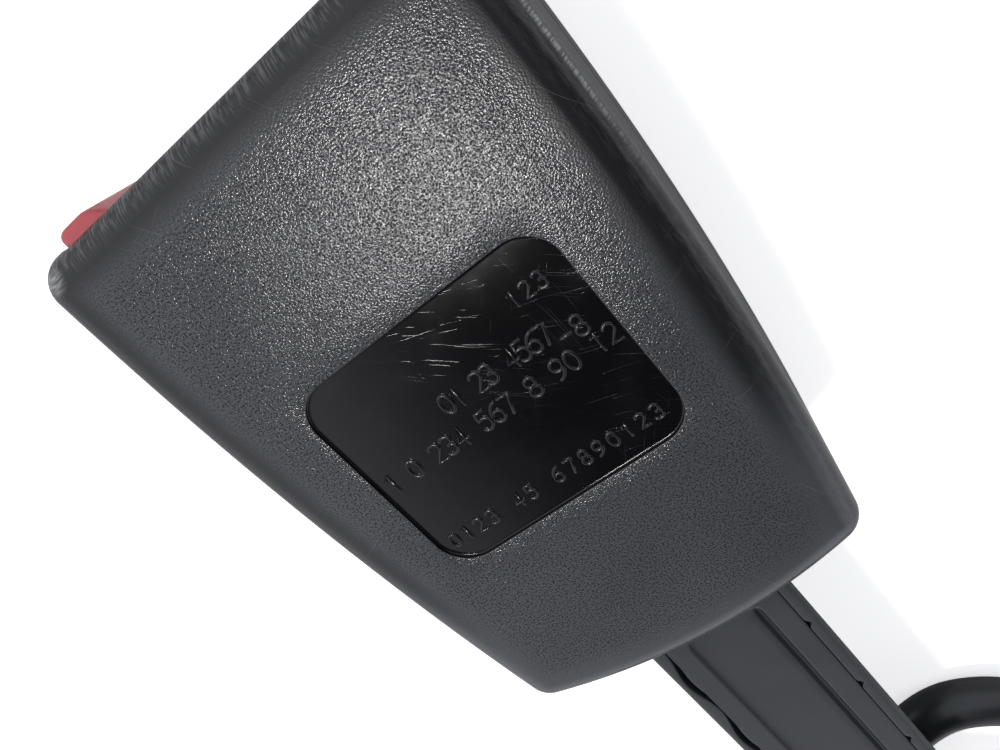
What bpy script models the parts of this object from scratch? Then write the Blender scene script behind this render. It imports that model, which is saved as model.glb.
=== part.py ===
"""Seat belt buckle of the end-release kind, on a short stalk.

The buckle lies on its front face, with the label side up.
X runs across it, Y from the button towards the anchor eye, and Z up from the resting face.
All lengths are in metres and all angles in degrees.
The origin is on the resting face, under the middle of the label recess.
"""

import math

import bmesh
import bpy
from mathutils import Matrix, Vector

# Clearances between pieces, a cutter's reach past the face it cuts, and a joined form's root
GAP = 0.0003
RUNNING_GAP = 0.0004
OVERRUN = 0.001
ROOTED = 0.0005

# Two coordinates closer than this lie on one face
SAME = 0.00001

# Case: outline, walls and the seam between its two shells
CASE_THICK = 0.024
CASE_HALF_WIDTH = 0.0250
CASE_WIDEST_Y = -0.0225
CASE_SIDE_RADIUS = 0.400
CASE_FRONT_Y = -0.03635
CASE_BACK_Y = 0.03735
CASE_END_RADIUS = 0.069
CASE_CORNER_RADIUS = 0.0032
CASE_EDGE_RADIUS = 0.0030
WALL = 0.0018
SEAM_Z = 0.0095
LIP_WALL = 0.0007
LIP_HEIGHT = 0.0012
LABEL_WIDTH = 0.030
LABEL_LENGTH = 0.02535
LABEL_CORNER = 0.004
LABEL_DEPTH = 0.0005

# Pegs that join the shells
PEG_RADIUS = 0.0013
PEG_INSET = 0.0012
PEG_WALL = 0.0008
PEG_TIP_Z = 0.003
SOCKET_HEIGHT = 0.0047
PEG_YS = (-0.014, 0.0175)

# Release button: cap, two ears beside a dished face that leans back, and arms that reach the lock bar
POCKET_SIDE = 0.0040
POCKET_CORNER = 0.0022
BUTTON_PROUD = 0.00125
BUTTON_DEPTH = 0.0091
BUTTON_DISH = 0.0028
BUTTON_DISH_HALF = 0.0162
BUTTON_DISH_SLOPE = 36
BUTTON_DISH_SWEEP = 0.006
BUTTON_EAR_RADIUS = 0.0025
BUTTON_LEAN = 0.035
BUTTON_WALL = 0.0018
BUTTON_EDGE = 0.0009
BUTTON_TRAVEL = 0.005
ARM_WIDTH = 0.0036
ARM_LOW = 0.0040
ARM_HIGH = 0.0120

# Button springs and the stops they push on
BUTTON_SPRING_Z = 0.0069
BUTTON_SPRING_RADIUS = 0.0021
BUTTON_SPRING_TURNS = 6
STOP_Y = -0.0134
STOP_THICK = 0.0016
STOP_HALF = 0.0028
STOP_TOP = 0.0096
WIRE_RADIUS = 0.0003

# Steel frame, bent to a channel around the tongue's path
FRAME_INSET = 0.0068
FRAME_STEEL = 0.0022
FRAME_BEND = 0.0012
FRAME_FRONT_Y = -0.0225
FRAME_BACK_Y = 0.029
FRAME_WALL_BACK_Y = 0.021
FRAME_WALL_LOW = 0.007
WINDOW_HALF = 0.0062
WINDOW_FRONT_Y = -0.0066
WINDOW_BACK_Y = 0.0006
WINDOW_CORNER = 0.001

# Tongue slot and its liner
TONGUE_GAP = 0.0044
SLOT_HALF_WIDTH = 0.0109
LINER_WALL = 0.0011
LINER_INSET = 0.0005
LINER_CORNER = 0.0006

# Latch, swinging on a pin through the frame
LATCH_PIVOT_Y = 0.014
LATCH_STEEL = 0.0032
LATCH_DROP = 0.0013
LATCH_LENGTH = 0.020
LATCH_HALF_WIDTH = 0.0061
LATCH_NOSE_HEIGHT = 0.0010
LATCH_NOSE_LENGTH = 0.0034
LATCH_CORNER = 0.0008
LATCH_HOOK_CORNER = 0.0003
LATCH_BARREL_RADIUS = 0.0029
LATCH_BARREL_GAP = 0.0007
PIN_RADIUS = 0.0018

# Lock bar: it slides up its slanting slots, under the latch, as the latch closes
BAR_RADIUS = 0.0019
BAR_OPEN_Y = 0.0025
BAR_LOCKED_Y = -0.0040
BAR_UNDER_LATCH = 0.0028
BAR_RISE = 0.0051
BAR_OVERHANG = 0.0005

# Ejector: a fork that the tongue pushes back
EJECTOR_FRONT_Y = -0.008
EJECTOR_BRIDGE_Y = 0.0
EJECTOR_BACK_Y = 0.0035
EJECTOR_LEG_INNER = 0.0066
EJECTOR_LEG_OUTER = 0.0102
EJECTOR_CORNER = 0.0006
EJECTOR_PEG_RADIUS = 0.0011
EJECTOR_PEG_LENGTH = 0.003
EJECTOR_SPRING_RADIUS = 0.0017
EJECTOR_SPRING_TURNS = 7

# Magnet in the ejector and the switch that feels it
MAGNET_LENGTH = 0.0044
MAGNET_WIDTH = 0.0014
MAGNET_HEIGHT = 0.0020
MAGNET_Y = -0.0036
SWITCH_WIDTH = 0.0036
SWITCH_FRONT_Y = 0.0056
SWITCH_LENGTH = 0.0138
SWITCH_HEIGHT = 0.0042
SMALL_EDGE = 0.0004
SWITCH_WIRE_RADIUS = 0.0009

# Strap: riveted under the frame, cranked down into the sleeve, with the anchor eye at its end
STRAP_STEEL = 0.003
STRAP_HEAD_HALF = 0.009
STRAP_HALF_WIDTH = 0.0064
STRAP_FRONT_Y = 0.0205
STRAP_CRANK_Y = 0.0298
STRAP_CRANK_RUN = 0.0052
STRAP_CRANK_DROP = 0.0038
STRAP_BEND = 0.0018
STRAP_CORNER = 0.003
EYE_Y = 0.112
EYE_RADIUS = 0.014
EYE_HOLE_RADIUS = 0.0062
EYE_NECK_RADIUS = 0.005
EYE_FIRST_ANGLE = -50
RIVET_Y = 0.0245
RIVET_RADIUS = 0.0028
RIVET_HEAD_RADIUS = 0.0040
RIVET_HEAD = 0.0015
RIVET_TAPER = 0.8

# Sleeve: a tapered channel with a scalloped cover let into it
SLEEVE_BELOW_BACK = 0.0056
SLEEVE_DEPTH = 0.0098
SLEEVE_TOP_HALF = 0.0099
SLEEVE_FOOT_HALF = 0.0066
SLEEVE_WALL = 0.0015
SLEEVE_TOP_CORNER = 0.0007
SLEEVE_FOOT_CORNER = 0.0022
SLEEVE_FRONT_Y = 0.0346
SLEEVE_BACK_Y = 0.096
COVER_HALF_WIDTH = 0.0079
COVER_WAVE = 0.00035
COVER_PITCH = 0.0122
COVER_WAVE_Y = 0.0475
COVER_THICK = 0.0015
COVER_STEPS = 6
PANEL_HALF_WIDTH = 0.0049
PANEL_DEPTH = 0.0007
PANEL_END = 0.004
PANEL_CORNER = 0.001
RAIL_SLOT_X = 0.0083
RAIL_SLOT_WIDTH = 0.0009
RAIL_SLOT_LENGTH = 0.0027
RAIL_SLOT_Y = 0.042
RAIL_SLOT_DEPTH = 0.0012

# Switch lead, its boot and the plug at its end
LEAD_RADIUS = 0.0034
OUTLET_Y = 0.088
OUTLET_Z = 0.0128
OUTLET_RADIUS = 0.0038
OUTLET_END_X = 0.0128
BOOT_NECK_RADIUS = 0.0021
BOOT_NECK = 0.0033
BOOT_FLANGE_RADIUS = 0.0042
BOOT_FLANGE = 0.0013
BOOT_LENGTH = 0.0098
BOOT_END_RADIUS = 0.0037
BOOT_STEP = 0.0003
PLUG_X = -0.022
PLUG_REAR_Y = 0.1365
PLUG_LENGTH = 0.0235
PLUG_HALF_WIDTH = 0.006
PLUG_HEIGHT = 0.0095
PLUG_CAVITY = 0.0025
PLUG_CAVITY_DEPTH = 0.011
PLUG_CAVITY_X = 0.0027
TERMINAL_SIZE = 0.0016
TERMINAL_SHORT = 0.0023
PLUG_LOCK_LENGTH = 0.006
PLUG_LOCK_THICK = 0.0012
PLUG_LOCK_INSET = 0.002
PLUG_LATCH_HALF = 0.0022
PLUG_LATCH_RISE = 0.0016
PLUG_ARM_THICK = 0.0008
PLUG_ARM_START = 0.010
PLUG_TOOTH = 0.006
PLUG_EDGE = 0.0006

# The lead's way over the table, a list chosen by hand from its boot to its plug
LEAD_ROUTE = (
    (0.0246, 0.0880, 0.0128),
    (0.0282, 0.0880, 0.0128),
    (0.0325, 0.0886, 0.0117),
    (0.0368, 0.0906, 0.0091),
    (0.0399, 0.0942, 0.0063),
    (0.0414, 0.0990, 0.0043),
    (0.0415, 0.1040, 0.0036),
    (0.0400, 0.1080, 0.00345),
    (0.0362, 0.1128, 0.00345),
    (0.0305, 0.1161, 0.00345),
    (0.0238, 0.1172, 0.00345),
    (0.0174, 0.1156, 0.00345),
    (0.0127, 0.1120, 0.00345),
    (0.0096, 0.1070, 0.00345),
    (0.0070, 0.1015, 0.00345),
    (0.0036, 0.0962, 0.00345),
    (-0.0012, 0.0920, 0.00345),
    (-0.0061, 0.0892, 0.00345),
    (-0.0110, 0.0884, 0.00345),
    (-0.0154, 0.0900, 0.00345),
    (-0.0192, 0.0932, 0.00345),
    (-0.0219, 0.0980, 0.00345),
    (-0.0233, 0.1040, 0.00345),
    (-0.0236, 0.1110, 0.00345),
    (-0.0231, 0.1190, 0.0037),
    (-0.0223, 0.1270, 0.0043),
    (-0.0220, 0.1362, 0.00475),
)

# The switch wire's way inside the case and the sleeve
WIRE_ROUTE = (
    (-0.0142, 0.0198, 0.0168),
    (-0.0141, 0.0230, 0.0160),
    (-0.0120, 0.0275, 0.0136),
    (-0.0080, 0.0310, 0.0120),
    (-0.0045, 0.0350, 0.0114),
    (-0.0020, 0.0420, 0.0113),
    (0.0000, 0.0540, 0.0113),
    (0.0010, 0.0670, 0.0113),
    (0.0030, 0.0780, 0.0113),
    (0.0042, 0.0838, 0.0114),
    (0.0052, 0.0866, 0.0115),
    (0.0071, 0.0878, 0.0116),
    (0.0093, 0.0880, 0.0122),
)

# Levels and places that follow from the sizes above
CASE_CEILING_Z = CASE_THICK - WALL
FRAME_TOP_Z = CASE_CEILING_Z - GAP
FRAME_UNDER_Z = FRAME_TOP_Z - FRAME_STEEL
CHANNEL_FLOOR_Z = FRAME_UNDER_Z - TONGUE_GAP
LATCH_PIVOT_Z = CHANNEL_FLOOR_Z - LATCH_DROP - LATCH_STEEL / 2
BAR_OPEN_Z = LATCH_PIVOT_Z - LATCH_STEEL / 2 - BAR_UNDER_LATCH
FRAME_HALF_WIDTH = CASE_HALF_WIDTH - FRAME_INSET
SWITCH_OUTER = FRAME_HALF_WIDTH - FRAME_STEEL - GAP
LATCH_BARREL_HALF = SWITCH_OUTER - SWITCH_WIDTH - LATCH_BARREL_GAP
POCKET_HALF_WIDTH = CASE_HALF_WIDTH - POCKET_SIDE
LINER_HALF_WIDTH = SLOT_HALF_WIDTH + LINER_WALL
LINER_LOW_Z = CHANNEL_FLOOR_Z - LINER_WALL
BUTTON_LOW_Z = WALL + RUNNING_GAP
BUTTON_HIGH_Z = CASE_CEILING_Z - RUNNING_GAP
BUTTON_HALF_WIDTH = POCKET_HALF_WIDTH - RUNNING_GAP
BUTTON_FRONT_Y = CASE_FRONT_Y - BUTTON_PROUD
BUTTON_BACK_Y = BUTTON_FRONT_Y + BUTTON_DEPTH
BUTTON_LEAN_BACK = (BUTTON_HIGH_Z - BUTTON_LOW_Z) * BUTTON_LEAN
BUTTON_CAVITY_Y = BUTTON_FRONT_Y + BUTTON_DISH + BUTTON_LEAN_BACK + BUTTON_WALL
ARM_OUTER = FRAME_HALF_WIDTH - FRAME_STEEL - RUNNING_GAP
BUTTON_SPRING_X = ARM_OUTER - ARM_WIDTH - RUNNING_GAP - STOP_HALF
ARM_END_Y = BAR_LOCKED_Y - BAR_RADIUS - BUTTON_TRAVEL - RUNNING_GAP
STRAP_TOP_Z = FRAME_UNDER_Z - GAP
SLEEVE_TOP_Z = CASE_THICK - SLEEVE_BELOW_BACK
SLEEVE_FOOT_Z = SLEEVE_TOP_Z - SLEEVE_DEPTH
COVER_UNDER_Z = SLEEVE_TOP_Z - COVER_THICK

# How finely round forms are divided
CORNER_STEPS = 4
SIDE_STEPS = 7
ROUND_SIDES = 20
SMALL_SIDES = 12
BROAD_SIDES = 48
DISH_STEPS = 8
EYE_STEPS = 30

PIECES = "seat_belt_buckle"
CUTTERS = "cutters"


def clear_scene():
    """Removes every object that the new scene starts with."""
    for old in list(bpy.data.objects):
        bpy.data.objects.remove(old, do_unlink=True)


def collection(name):
    """The named collection, made the first time it is asked for."""
    if name not in bpy.data.collections:
        made = bpy.data.collections.new(name)
        bpy.context.scene.collection.children.link(made)
    return bpy.data.collections[name]


def finish(piece, colour, roughness, metallic=0.0):
    """Gives the piece its own material and smooth shading on its round faces."""
    paint = bpy.data.materials.new(piece.name)
    paint.use_nodes = True
    shader = paint.node_tree.nodes["Principled BSDF"]
    shader.inputs["Base Color"].default_value = (*colour, 1)
    shader.inputs["Roughness"].default_value = roughness
    shader.inputs["Metallic"].default_value = metallic
    piece.data.materials.append(paint)
    if piece.type == "MESH":
        piece.data.shade_smooth()
        piece.data.set_sharp_from_angle(angle=math.radians(35))
    return piece


def from_bmesh(name, shape, at=(0, 0, 0)):
    """A mesh object whose origin lies at the given point."""
    mesh = bpy.data.meshes.new(name)
    shape.to_mesh(mesh)
    shape.free()
    piece = bpy.data.objects.new(name, mesh)
    piece.location = at
    collection(PIECES).objects.link(piece)
    return piece


def as_mesh(curve_piece):
    """The curve as a mesh object in the same place, with its caps welded and their flat faces merged."""
    graph = bpy.context.evaluated_depsgraph_get()
    mesh = bpy.data.meshes.new_from_object(curve_piece.evaluated_get(graph))
    shape = bmesh.new()
    shape.from_mesh(mesh)
    bmesh.ops.remove_doubles(shape, verts=shape.verts, dist=0.000001)
    bmesh.ops.dissolve_limit(shape, angle_limit=math.radians(0.4), verts=shape.verts, edges=shape.edges)
    bmesh.ops.recalc_face_normals(shape, faces=shape.faces)
    shape.to_mesh(mesh)
    shape.free()
    name = curve_piece.name
    place = curve_piece.matrix_world.copy()
    curve_piece.name = name + "_outline"
    piece = bpy.data.objects.new(name, mesh)
    piece.matrix_world = place
    bpy.data.objects.remove(curve_piece, do_unlink=True)
    collection(PIECES).objects.link(piece)
    return piece


def prism(name, outline, low, high, axis="Z", at=(0, 0, 0), holes=()):
    """A flat outline extruded from low to high along an axis, both measured from the object's origin.

    The outline is in (X, Y) for axis Z, in (Y, Z) for axis X and in (X, Z) for axis Y.
    """
    curve = bpy.data.curves.new(name, "CURVE")
    curve.dimensions = "2D"
    curve.fill_mode = "BOTH"
    curve.extrude = (high - low) / 2
    for loop in (outline, *holes):
        spline = curve.splines.new("POLY")
        spline.points.add(len(loop) - 1)
        for point, (x, y) in zip(spline.points, loop):
            point.co = (x, y, 0, 1)
        spline.use_cyclic_u = True
    sketch = bpy.data.objects.new(name, curve)
    collection(PIECES).objects.link(sketch)
    quarter = math.pi / 2
    sketch.rotation_euler = {"Z": (0, 0, 0), "X": (quarter, 0, quarter), "Y": (quarter, 0, 0)}[axis]
    sketch.location = at
    bpy.context.view_layer.update()
    piece = as_mesh(sketch)
    middle = (low + high) / 2
    piece.data.transform(Matrix.Translation((0, 0, -middle if axis == "Y" else middle)))
    return piece


def block(name, low, high, at=(0, 0, 0)):
    """A box between two corners, measured from the object's origin."""
    size = [b - a for a, b in zip(low, high)]
    middle = [(a + b) / 2 for a, b in zip(low, high)]
    shape = bmesh.new()
    frame = Matrix.Translation(middle) @ Matrix.Diagonal((*size, 1))
    bmesh.ops.create_cube(shape, size=1, matrix=frame)
    return from_bmesh(name, shape, at)


def rod(name, radius, start, end, at=(0, 0, 0), sides=ROUND_SIDES, end_radius=None):
    """A round bar or cone between two points, measured from the object's origin."""
    run = Vector(end) - Vector(start)
    middle = (Vector(end) + Vector(start)) / 2
    frame = Matrix.Translation(middle) @ run.to_track_quat("Z", "Y").to_matrix().to_4x4()
    shape = bmesh.new()
    bmesh.ops.create_cone(
        shape,
        cap_ends=True,
        segments=sides,
        radius1=radius,
        radius2=radius if end_radius is None else end_radius,
        depth=run.length,
        matrix=frame,
    )
    return from_bmesh(name, shape, at)


def turned(name, profile, at, rotation=(0, 0, 0), sides=ROUND_SIDES):
    """A turned piece: (radius, height) points, listed from top to bottom, spun about the object's Z axis."""
    mesh = bpy.data.meshes.new(name)
    points = [(radius, 0, height) for radius, height in profile]
    mesh.from_pydata(points, [(k, k + 1) for k in range(len(points) - 1)], [])
    piece = bpy.data.objects.new(name, mesh)
    piece.location = at
    piece.rotation_euler = rotation
    collection(PIECES).objects.link(piece)
    screw = piece.modifiers.new("turn", "SCREW")
    screw.steps = sides
    screw.render_steps = sides
    screw.use_merge_vertices = True
    screw.merge_threshold = SAME
    return piece


def wire(name, points, radius, roundness=2):
    """A round wire or cord along a list of points, with closed ends."""
    curve = bpy.data.curves.new(name, "CURVE")
    curve.dimensions = "3D"
    curve.bevel_depth = radius
    curve.bevel_resolution = roundness
    curve.use_fill_caps = True
    spline = curve.splines.new("POLY")
    spline.points.add(len(points) - 1)
    for target, point in zip(spline.points, points):
        target.co = (*point, 1)
    piece = bpy.data.objects.new(name, curve)
    collection(PIECES).objects.link(piece)
    return piece


def change(piece, tool, operation):
    """Cuts or joins the tool's shape, and puts the tool among the cutters."""
    step = piece.modifiers.new(tool.name, "BOOLEAN")
    step.operation = operation
    step.solver = "EXACT"
    step.object = tool
    collection(PIECES).objects.unlink(tool)
    collection(CUTTERS).objects.link(tool)
    tool.hide_render = True
    tool.display_type = "WIRE"


def cut(piece, *tools):
    """Takes the tools' shapes out of the piece."""
    for tool in tools:
        change(piece, tool, "DIFFERENCE")


def join(piece, *tools):
    """Adds the tools' shapes to the piece."""
    for tool in tools:
        change(piece, tool, "UNION")


def round_edges(piece, chosen, radius, segments):
    """Rounds the edges whose two ends both pass the test, in the mesh's own coordinates."""
    shape = bmesh.new()
    shape.from_mesh(piece.data)
    edges = [edge for edge in shape.edges if all(chosen(vert.co) for vert in edge.verts)]
    bmesh.ops.bevel(
        shape,
        geom=edges,
        offset=radius,
        offset_type="OFFSET",
        segments=segments,
        profile=0.5,
        affect="EDGES",
    )
    shape.to_mesh(piece.data)
    shape.free()


def rounded(corners, steps=CORNER_STEPS):
    """The outline through (x, y, radius) corners, each replaced by an arc that touches both its edges."""
    outline = []
    for index, (x, y, radius) in enumerate(corners):
        if radius <= 0:
            outline.append((x, y))
            continue
        here = Vector((x, y))
        before = (Vector(corners[index - 1][:2]) - here).normalized()
        after = (Vector(corners[(index + 1) % len(corners)][:2]) - here).normalized()
        half = before.angle(after) / 2
        centre = here + (before + after).normalized() * radius / math.sin(half)
        first = here + before * radius / math.tan(half) - centre
        last = here + after * radius / math.tan(half) - centre
        start = math.atan2(first.y, first.x)
        sweep = (math.atan2(last.y, last.x) - start + math.pi) % (2 * math.pi) - math.pi
        for step in range(steps + 1):
            angle = start + sweep * step / steps
            outline.append((centre.x + radius * math.cos(angle), centre.y + radius * math.sin(angle)))
    return outline


def panel(half_width, low, high, radius):
    """A rounded rectangle about the middle plane."""
    corners = ((half_width, low), (half_width, high), (-half_width, high), (-half_width, low))
    return rounded([(x, y, radius) for x, y in corners])


def circle(x, y, radius, sides=ROUND_SIDES):
    """A round outline."""
    turns = [2 * math.pi * side / sides for side in range(sides)]
    return [(x + radius * math.cos(turn), y + radius * math.sin(turn)) for turn in turns]


def ribbon(path, thickness, bend):
    """The outline of a bent strip along a path, with its bends rounded on both faces."""
    sides = {1: [], -1: []}
    for index, (x, y) in enumerate(path):
        here = Vector((x, y))
        came = (here - Vector(path[index - 1])).normalized() if index else None
        goes = (Vector(path[index + 1]) - here).normalized() if index + 1 < len(path) else None
        run = ((came or goes) + (goes or came)).normalized()
        lean = run.dot(goes or came)
        turn = came.x * goes.y - came.y * goes.x if came and goes else 0
        for side, edge in sides.items():
            at = here + Vector((-run.y, run.x)) * side * thickness / 2 / lean
            inner = turn * side > 0
            radius = 0 if not (came and goes) else bend if inner else bend + thickness
            edge.append((at.x, at.y, radius))
    return rounded(sides[1] + sides[-1][::-1])


def smooth_route(points, spacing):
    """Evenly spaced points on one smooth curve through the route's points.

    Each stretch between two points is a cubic whose slope at a point runs from its neighbour before
    to its neighbour after.
    """
    knots = [Vector(point) for point in points]
    knots = [2 * knots[0] - knots[1], *knots, 2 * knots[-1] - knots[-2]]
    fine = []
    for a, b, c, d in zip(knots, knots[1:], knots[2:], knots[3:]):
        for step in range(12):
            t = step / 12
            fine.append(0.5 * (2 * b + (c - a) * t + (2 * a - 5 * b + 4 * c - d) * t**2
                               + (3 * b - a - 3 * c + d) * t**3))
    fine.append(knots[-2])
    walked = [0.0]
    for a, b in zip(fine, fine[1:]):
        walked.append(walked[-1] + (b - a).length)
    count = max(2, round(walked[-1] / spacing))
    even = []
    place = 0
    for step in range(count + 1):
        goal = walked[-1] * step / count
        while place < len(fine) - 2 and walked[place + 1] < goal:
            place += 1
        share = (goal - walked[place]) / (walked[place + 1] - walked[place])
        even.append(fine[place].lerp(fine[place + 1], share))
    return even


def helix(centre_x, centre_z, radius, start_y, end_y, turns):
    """Points of a compression spring that runs along Y."""
    steps = turns * 9
    points = []
    for step in range(steps + 1):
        share = step / steps
        angle = 2 * math.pi * turns * share
        x = centre_x + radius * math.cos(angle)
        z = centre_z + radius * math.sin(angle)
        points.append((x, start_y + (end_y - start_y) * share, z))
    return points


def case_half_width(y, inset=0.0):
    """Half the case's width at y: its sides are long shallow arcs."""
    sagitta = CASE_SIDE_RADIUS - math.sqrt(CASE_SIDE_RADIUS**2 - (y - CASE_WIDEST_Y) ** 2)
    return CASE_HALF_WIDTH - inset - sagitta


def case_end(x, inset=0.0):
    """Where the bowed stalk end of the case lies at x."""
    return CASE_BACK_Y - inset - CASE_END_RADIUS + math.sqrt(CASE_END_RADIUS**2 - x**2)


def case_outline(inset=0.0):
    """The case's plan: straight at the button, arcs at the sides and the stalk end, round corners."""
    radius = max(CASE_CORNER_RADIUS - inset, 0.001)
    front = CASE_FRONT_Y + inset
    corner_y = CASE_BACK_Y - inset
    for _ in range(8):
        corner_y = case_end(case_half_width(corner_y, inset), inset)
    corner_x = case_half_width(corner_y, inset)
    right = []
    for step in range(SIDE_STEPS + 1):
        y = front + (corner_y - front) * step / SIDE_STEPS
        right.append((case_half_width(y, inset), y, radius if step in (0, SIDE_STEPS) else 0))
    end = []
    for step in range(1, SIDE_STEPS - 1):
        x = corner_x * (1 - 2 * step / (SIDE_STEPS - 1))
        end.append((x, case_end(x, inset), 0))
    left = [(-x, y, corner) for x, y, corner in right[::-1]]
    return rounded(right + end + left)


def case_solid(name, inset, low, high, edge, rounds_top):
    """A slab of the case's plan, with its outer face's edge rounded."""
    slab = prism(name, case_outline(inset), low, high)
    level = high if rounds_top else low
    round_edges(slab, lambda co: abs(co.z - level) < SAME, edge, 3)
    return slab


def pocket_cutter(name):
    """The opening in the case's end that the button slides in."""
    outline = panel(POCKET_HALF_WIDTH, WALL, CASE_CEILING_Z, POCKET_CORNER)
    return prism(name, outline, CASE_FRONT_Y - OVERRUN, CASE_FRONT_Y + WALL + OVERRUN, "Y")


def stalk_cutter(name):
    """The opening in the case's other end that the sleeve comes out of."""
    outline = sleeve_section(GAP)
    bow = CASE_BACK_Y - case_end(SLEEVE_TOP_HALF)
    return prism(name, outline, CASE_BACK_Y - bow - WALL - OVERRUN, CASE_BACK_Y + OVERRUN, "Y")


def peg_places():
    """Where the shells' pegs stand, close to the side walls."""
    return [
        (side * (case_half_width(y, WALL) - PEG_INSET), y)
        for y in PEG_YS
        for side in (-1, 1)
    ]


def make_rear_shell():
    """The label side of the case: a deep shell with a shallow recess for the label."""
    shell = case_solid("rear_shell", 0, SEAM_Z + GAP / 2, CASE_THICK, CASE_EDGE_RADIUS, True)
    inner_edge = CASE_EDGE_RADIUS - WALL
    cut(shell, case_solid("rear_hollow", WALL, SEAM_Z - OVERRUN, CASE_CEILING_Z, inner_edge, True))
    rebate = prism(
        "rear_rebate",
        case_outline(WALL - LIP_WALL - GAP),
        SEAM_Z - OVERRUN,
        SEAM_Z + LIP_HEIGHT + GAP,
    )
    cut(shell, rebate)
    for number, (x, y) in enumerate(peg_places()):
        tip = (x, y, PEG_TIP_Z)
        root = (x, y, CASE_CEILING_Z + ROOTED)
        join(shell, rod(f"rear_peg_{number}", PEG_RADIUS, tip, root, sides=SMALL_SIDES))
    cut(shell, pocket_cutter("rear_pocket"), stalk_cutter("rear_stalk_way"))
    label = panel(LABEL_WIDTH / 2, -LABEL_LENGTH / 2, LABEL_LENGTH / 2, LABEL_CORNER)
    cut(shell, prism("label_recess", label, CASE_THICK - LABEL_DEPTH, CASE_THICK + OVERRUN))
    return finish(shell, (0.062, 0.065, 0.072), 0.5)


def make_front_shell():
    """The face that the buckle rests on: a shallow shell with a lip, sockets and the springs' stops."""
    top = SEAM_Z - GAP / 2
    shell = case_solid("front_shell", 0, 0, top, CASE_EDGE_RADIUS, False)
    lip = prism("front_lip", case_outline(WALL - LIP_WALL), top - ROOTED, SEAM_Z + LIP_HEIGHT)
    join(shell, lip)
    inner_edge = CASE_EDGE_RADIUS - WALL
    cut(shell, case_solid("front_hollow", WALL, WALL, SEAM_Z + LIP_HEIGHT + OVERRUN, inner_edge, False))
    for number, (x, y) in enumerate(peg_places()):
        radius = PEG_RADIUS + GAP + PEG_WALL
        root = (x, y, WALL - ROOTED)
        rim = (x, y, WALL + SOCKET_HEIGHT)
        join(shell, rod(f"front_socket_{number}", radius, root, rim, sides=SMALL_SIDES))
        hole = (x, y, PEG_TIP_Z - GAP)
        mouth = (x, y, SEAM_Z + LIP_HEIGHT + OVERRUN)
        cut(shell, rod(f"front_bore_{number}", PEG_RADIUS + GAP, hole, mouth, sides=SMALL_SIDES))
    for side in (-1, 1):
        middle = side * BUTTON_SPRING_X
        low = (middle - STOP_HALF, STOP_Y, WALL - ROOTED)
        high = (middle + STOP_HALF, STOP_Y + STOP_THICK, STOP_TOP)
        join(shell, block(f"spring_stop_{side}", low, high))
    cut(shell, pocket_cutter("front_pocket"), stalk_cutter("front_stalk_way"))
    return finish(shell, (0.068, 0.070, 0.076), 0.5)


def lean_back(piece, depth):
    """Leans the piece's front, down to a depth from its origin, back towards the resting face."""
    for vert in piece.data.vertices:
        if vert.co.y < depth:
            vert.co.y += (BUTTON_HIGH_Z - vert.co.z) * BUTTON_LEAN


def make_release_button():
    """The red cap in the case's end, dished for a thumb, with two arms that push the lock bar."""
    back = BUTTON_BACK_Y - BUTTON_FRONT_Y
    at = (0, BUTTON_FRONT_Y, 0)
    radius = POCKET_CORNER - RUNNING_GAP
    outline = panel(BUTTON_HALF_WIDTH, BUTTON_LOW_Z, BUTTON_HIGH_Z, radius)
    button = prism("release_button", outline, 0, back, "Y", at)
    round_edges(button, lambda co: abs(co.z) < SAME, BUTTON_EDGE, 2)
    lean_back(button, BUTTON_EDGE + SAME)
    run = BUTTON_DISH / math.tan(math.radians(BUTTON_DISH_SLOPE))
    right = [
        (BUTTON_HALF_WIDTH + OVERRUN, -OVERRUN, 0),
        (BUTTON_HALF_WIDTH + OVERRUN, -SAME, 0),
        (BUTTON_DISH_HALF, -SAME, BUTTON_EAR_RADIUS),
        (BUTTON_DISH_HALF - run, BUTTON_DISH, BUTTON_DISH_SWEEP),
    ]
    left = [(-x, y, radius) for x, y, radius in right[::-1]]
    dish = prism("button_dish", rounded(right + left, DISH_STEPS), 0, CASE_THICK, "Z", at)
    lean_back(dish, CASE_THICK)
    floor = BUTTON_CAVITY_Y
    wall = BUTTON_HALF_WIDTH - BUTTON_WALL
    notch_half = LINER_HALF_WIDTH + RUNNING_GAP
    notch_low = LINER_LOW_Z - RUNNING_GAP
    notch = block(
        "button_notch",
        (-notch_half, BUTTON_FRONT_Y - OVERRUN, notch_low),
        (notch_half, BUTTON_BACK_Y + OVERRUN, CASE_THICK),
    )
    hollow = block(
        "button_hollow",
        (-wall, floor, BUTTON_LOW_Z + BUTTON_WALL),
        (wall, BUTTON_BACK_Y + OVERRUN, notch_low - BUTTON_WALL),
    )
    cut(button, dish, notch, hollow)
    for side in (-1, 1):
        ends = sorted((side * ARM_OUTER, side * (ARM_OUTER - ARM_WIDTH)))
        low = (ends[0], floor - ROOTED, ARM_LOW)
        high = (ends[1], ARM_END_Y, ARM_HIGH)
        join(button, block(f"button_arm_{side}", low, high))
    return finish(button, (0.42, 0.035, 0.035), 0.38)


def make_slot_liner():
    """The plastic mouth that guides the tongue in between the button and the rear shell."""
    outline = panel(LINER_HALF_WIDTH, LINER_LOW_Z, CASE_CEILING_Z - GAP, LINER_CORNER)
    hole = panel(SLOT_HALF_WIDTH, CHANNEL_FLOOR_Z, CHANNEL_FLOOR_Z + TONGUE_GAP, LINER_CORNER)
    front = CASE_FRONT_Y + LINER_INSET
    back = FRAME_FRONT_Y - GAP
    liner = prism("slot_liner", outline, front, back, "Y", holes=[hole])
    return finish(liner, (0.02, 0.02, 0.022), 0.45)


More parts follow.
